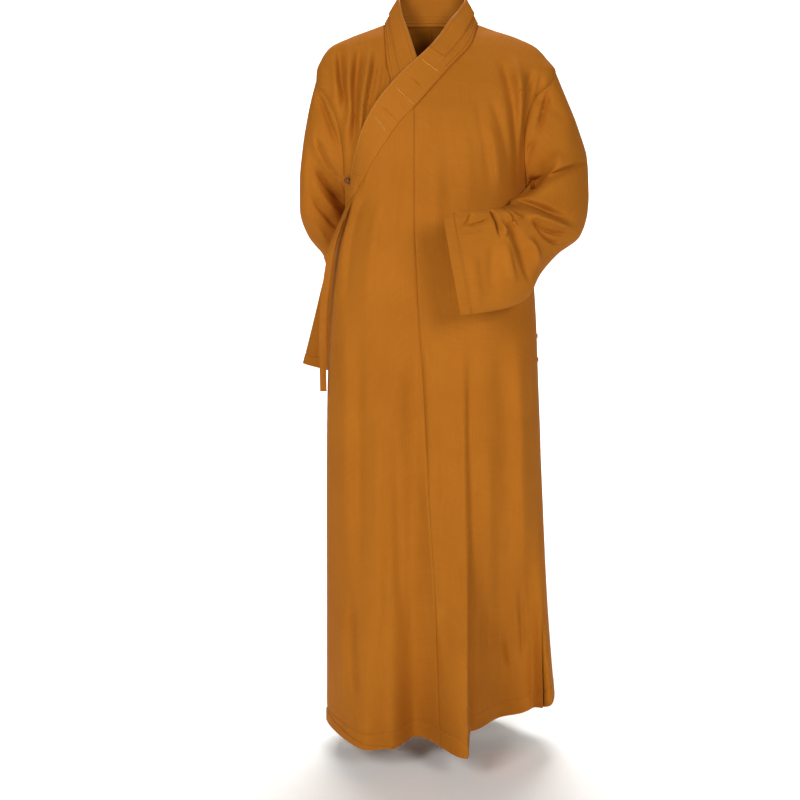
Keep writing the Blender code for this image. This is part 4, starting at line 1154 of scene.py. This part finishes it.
def makeCollar():
    steps = np.concatenate([
        np.linspace(0, 8, 300), np.linspace(8, 18, 170)[1:], np.linspace(18, 24, 100)[1:],
    ])
    shares = edgeShares(rows["collar"], start=False)
    shares = shares * (1 - 0.004)
    grid, normal = collarGrid(steps, shares)
    crown = collarForm["crown"] * 4 * shares * (1 - shares) * 0.5
    onFront = (steps < 9)[:, None]
    marks = np.where(onFront, creases(grid[..., 0], grid[..., 2], bandMarks), 0.0)
    push = collarForm["proud"] + crown[None, :] + marks
    # sewn lines along the band, each a groove with a low roll beside it: three
    # below the guard, and one groove near each edge

    def groove(place, width):
        return np.exp(-(((shares[None, :] - place) / width) ** 2))

    form = collarForm
    lines = smoothStep((steps - form["linesFrom"]) / 0.5)[:, None]
    for share in form["lines"]:
        push -= form["lineDepth"] * lines * groove(share, form["lineWidth"])
        push += form["roll"] * lines * groove(share + form["rollOff"], form["rollWidth"])
    push -= form["edgeDepth"] * groove(form["edgeLine"], form["edgeWidth"])
    push -= form["seamDepth"] * groove(1.0, form["seamWidth"])
    outer = grid + push[..., None] * normal
    if gridNormals(outer)[100, 10] @ normal[100, 10] < 0:
        outer, normal = outer[:, ::-1], normal[:, ::-1]
    item = clothShell("collarBand", outer, wall["collar"], collarCloth, normal=normal)
    return item, outer, normal, grid, steps


collarBand, bandGrid, bandNormal, plainBand, bandSteps = makeCollar()
edgeAway = np.linalg.norm(bandGrid[0, [0, -1]] - plainBand[0, 0], axis=-1)
edgeColumn = 0 if edgeAway[0] < edgeAway[1] else -1
pipePath = bandGrid[:, edgeColumn] - 0.0010 * bandNormal[:, edgeColumn]
# the piping's lighter colour is a painted highlight along the collar's free edge
collarPiping = tube("collarPiping", pipePath, np.full(len(pipePath), 0.0014), highlightEdgeCord, 10)
threads = []
for number, (start, end) in enumerate(bandHighlightThreads):
    share = np.linspace(0, 1, 60)[:, None]
    places = (np.array(start) * (1 - share) + np.array(end) * share) * mm
    flatBand = bandGrid[bandSteps < 9].reshape(-1, 3)
    flatNormal = bandNormal[bandSteps < 9].reshape(-1, 3)
    gap = np.hypot(flatBand[None, :, 0] - places[:, :1], flatBand[None, :, 2] - places[:, 1:])
    nearest = np.argmin(gap, axis=1)
    # nearly solid gold stitches: real thread and a painted highlight along each light tuck
    threads.append(stitches(f"bandTuckStitchesAndHighlight{number + 1}", flatBand[nearest], flatNormal[nearest],
                            goldThreadAndHighlight, pitch=0.0028, length=0.0024, width=0.0012, proud=0.0004))
settle(collarBand, "collar_band", [collarPiping] + threads)


def makeGuard():
    steps = np.linspace(guardForm["from"], guardForm["to"], 240)
    shares = np.linspace(0.0, guardForm["share"], 26)
    grid, normal = collarGrid(steps, shares)
    crown = collarForm["crown"] * 4 * shares * (1 - shares) * 0.5
    base = collarForm["proud"] + guardForm["off"] + crown
    top = base + wall["guard"] + 0.0006 * smoothStep(np.minimum(shares, guardForm["share"] - shares) / 0.05)
    outer = grid + top[None, :, None] * normal
    outer = outer - 0.0006 * np.exp(-(((shares - 0.07) / 0.015) ** 2))[None, :, None] * normal
    if gridNormals(outer)[50, 10] @ normal[50, 10] < 0:
        outer, normal = outer[:, ::-1], normal[:, ::-1]
    item = clothShell("collarGuard", outer, wall["guard"], collarCloth, normal=normal)
    edgeAway = np.linalg.norm(outer[0, [0, -1]] - grid[0, 0], axis=-1)
    inner = 4 if edgeAway[0] < edgeAway[1] else -5
    sewing = stitches("collarGuardStitches", outer[:, inner], normal[:, inner], darkThread)
    settle(item, "collar_guard", [sewing])


makeGuard()
print("collar made")


# tie and knot button

tieForm = table(
    "x y z turn",
    [
        (0.0000, 0.0000, 0.000, -62.0),
        (-0.0066, -0.0024, -0.015, -62.0),
        (-0.0185, -0.0060, -0.042, -52.0),
        (-0.0320, -0.0060, -0.080, -34.0),
        (-0.0430, 0.0000, -0.135, -16.0),
        (-0.0510, 0.0100, -0.200, 0.0),
        (-0.0545, 0.0200, -0.280, 4.0),
        (-0.0540, 0.0240, -0.366, 6.0),
    ],
)
tieSize = {"width": 0.013, "rootX": -0.1520, "rootHeight": -0.3260, "off": 0.0032, "curl": 0.0007}


def makeTie():
    # flat strip along a path, its width turned at each point, with a shallow
    # curl of curl * cos across and a doubled edge
    x, height = np.array([tieSize["rootX"]]), np.array([tieSize["rootHeight"]])
    angle = bodyAngle(x, height)
    root = bodyShape(angle, height, noCreases)[0] + tieSize["off"] * plainNormals(angle, height)[0]
    step = np.linspace(0, len(tieForm["x"]) - 1, 130)
    middle = root + np.stack([readRows(tieForm, step, n) for n in ("x", "y", "z")], axis=-1)
    turn = np.radians(readRows(tieForm, step, "turn") + 5 * np.sin(step * 2.1))
    level = np.zeros_like(turn)
    half = np.stack([np.cos(turn), np.sin(turn), level], axis=-1) * tieSize["width"] / 2
    face = np.stack([np.sin(turn), -np.cos(turn), level], axis=-1)
    across = np.linspace(-1, 1, 15)[None, :, None]
    rise = tieSize["curl"] * np.cos(across * 1.4) - 0.0003 * np.exp(-(((np.abs(across) - 0.72) / 0.08) ** 2))
    outer = middle[:, None] + half[:, None] * across + face[:, None] * rise
    if gridNormals(outer)[10, 5] @ face[10] < 0:
        outer = outer[:, ::-1]
    item = clothShell("tie", outer, wall["tie"], ribbonCloth)
    settle(item, "tie")


makeTie()

knotForm = {"ball": 0.0044, "cord": 0.0016, "leads": 3, "bights": 5}


def makeKnot():
    # a round mat knot: the cord goes round the ball as many times as it has
    # leads while it swings up and down once for each bight, passing over and
    # under itself by a wave in its height above the ball
    low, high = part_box("knot_button")
    centre = (np.array(low) + np.array(high)) / 2
    t = np.linspace(0, 2 * math.pi, 420, endpoint=False)
    turn = knotForm["leads"] * t
    lean = 1.12 * np.sin(knotForm["bights"] * t)
    weave = 0.0008 * np.sin(2 * knotForm["bights"] * t + 0.6)
    reach = knotForm["ball"] + weave
    level = reach * np.cos(lean)
    path = np.stack([level * np.cos(turn), reach * np.sin(lean), level * np.sin(turn)], axis=-1)
    item = tube("knotButton", centre + path, np.full(len(t), knotForm["cord"]), knotCord, 8, closed=True)
    lon, lat = np.meshgrid(np.linspace(0, 2 * math.pi, 25), np.linspace(-math.pi / 2, math.pi / 2, 13))
    ball = np.stack([np.cos(lat) * np.cos(lon), np.cos(lat) * np.sin(lon), np.sin(lat)], axis=-1)
    ball *= knotForm["ball"] * 0.9
    numbers = np.arange(13 * 24).reshape(13, 24)
    numbers = np.hstack([numbers, numbers[:, :1]])
    core = addMesh("knotCore", centre + ball[:, :24], gridQuads(numbers).tolist(), knotCord)
    settle(item, "knot_button", [core])


makeKnot()
print("tie and knot made")


# floor, light and camera

studio = {"floor": -1.455, "white": "FAF9F6", "key": 76.0, "fill": 56.0, "backdrop": 300.0, "world": 0.08}


def makeStage():
    # floor and back wall in one: a profile with a quarter round, carried along X
    turn = np.linspace(0, math.pi / 2, 24)
    profile = np.concatenate([
        [[-7.0, studio["floor"]]],
        np.stack([3.2 + 1.5 * np.sin(turn), studio["floor"] + 1.5 * (1 - np.cos(turn))], axis=-1),
        [[4.7, 5.0]],
    ])
    sides = [np.hstack([np.full((len(profile), 1), x), profile]) for x in (-8.0, 8.0)]
    points = np.stack(sides, axis=1)
    numbers = np.arange(len(profile) * 2).reshape(len(profile), 2)
    paper = bpy.data.materials.new("matt_studio_paper")  # even pale sweep
    paper.use_nodes = True
    shader = paper.node_tree.nodes["Principled BSDF"]
    shader.inputs["Base Color"].default_value = linear(studio["white"])
    shader.inputs["Roughness"].default_value = 0.9
    addMesh("studioSweep", points, gridQuads(numbers).tolist(), paper)


def addLight(name, place, target, size, power):
    data = bpy.data.lights.new(name, "AREA")
    data.shape, data.size, data.energy = "SQUARE", size, power
    item = bpy.data.objects.new(name, data)
    item.location = place
    direction = np.array(target) - np.array(place)
    flatLength = math.hypot(direction[0], direction[1])
    item.rotation_euler = (math.atan2(flatLength, -direction[2]), 0, math.atan2(-direction[0], direction[1]))
    bpy.context.scene.collection.objects.link(item)


makeStage()
addLight("keyLight", (-1.8, -3.1, 0.9), (0, 0, -0.6), 1.2, studio["key"])
addLight("fillLight", (1.6, -3.2, 0.8), (0, 0, -0.6), 1.2, studio["fill"])
addLight("backdropLight", (0, 2.2, 3.2), (0, 4.0, -0.2), 2.4, studio["backdrop"])
world = bpy.data.worlds.new("studioWorld")
world.use_nodes = True
world.node_tree.nodes["Background"].inputs["Color"].default_value = (1, 1, 1, 1)
world.node_tree.nodes["Background"].inputs["Strength"].default_value = studio["world"]
bpy.context.scene.world = world
bpy.context.scene.view_settings.view_transform = "Standard"

view = {"place": (-0.060, -2.900, -0.174), "down": math.atan(280 / 1494), "lens": 36 * 1494 / 800}
cameraData = bpy.data.cameras.new("photoCamera")
cameraData.lens, cameraData.sensor_width = view["lens"], 36.0
camera = bpy.data.objects.new("photoCamera", cameraData)
camera.location = view["place"]
camera.rotation_euler = (math.pi / 2 - view["down"], 0, 0)
bpy.context.scene.collection.objects.link(camera)
bpy.context.scene.camera = camera
print("studio made")
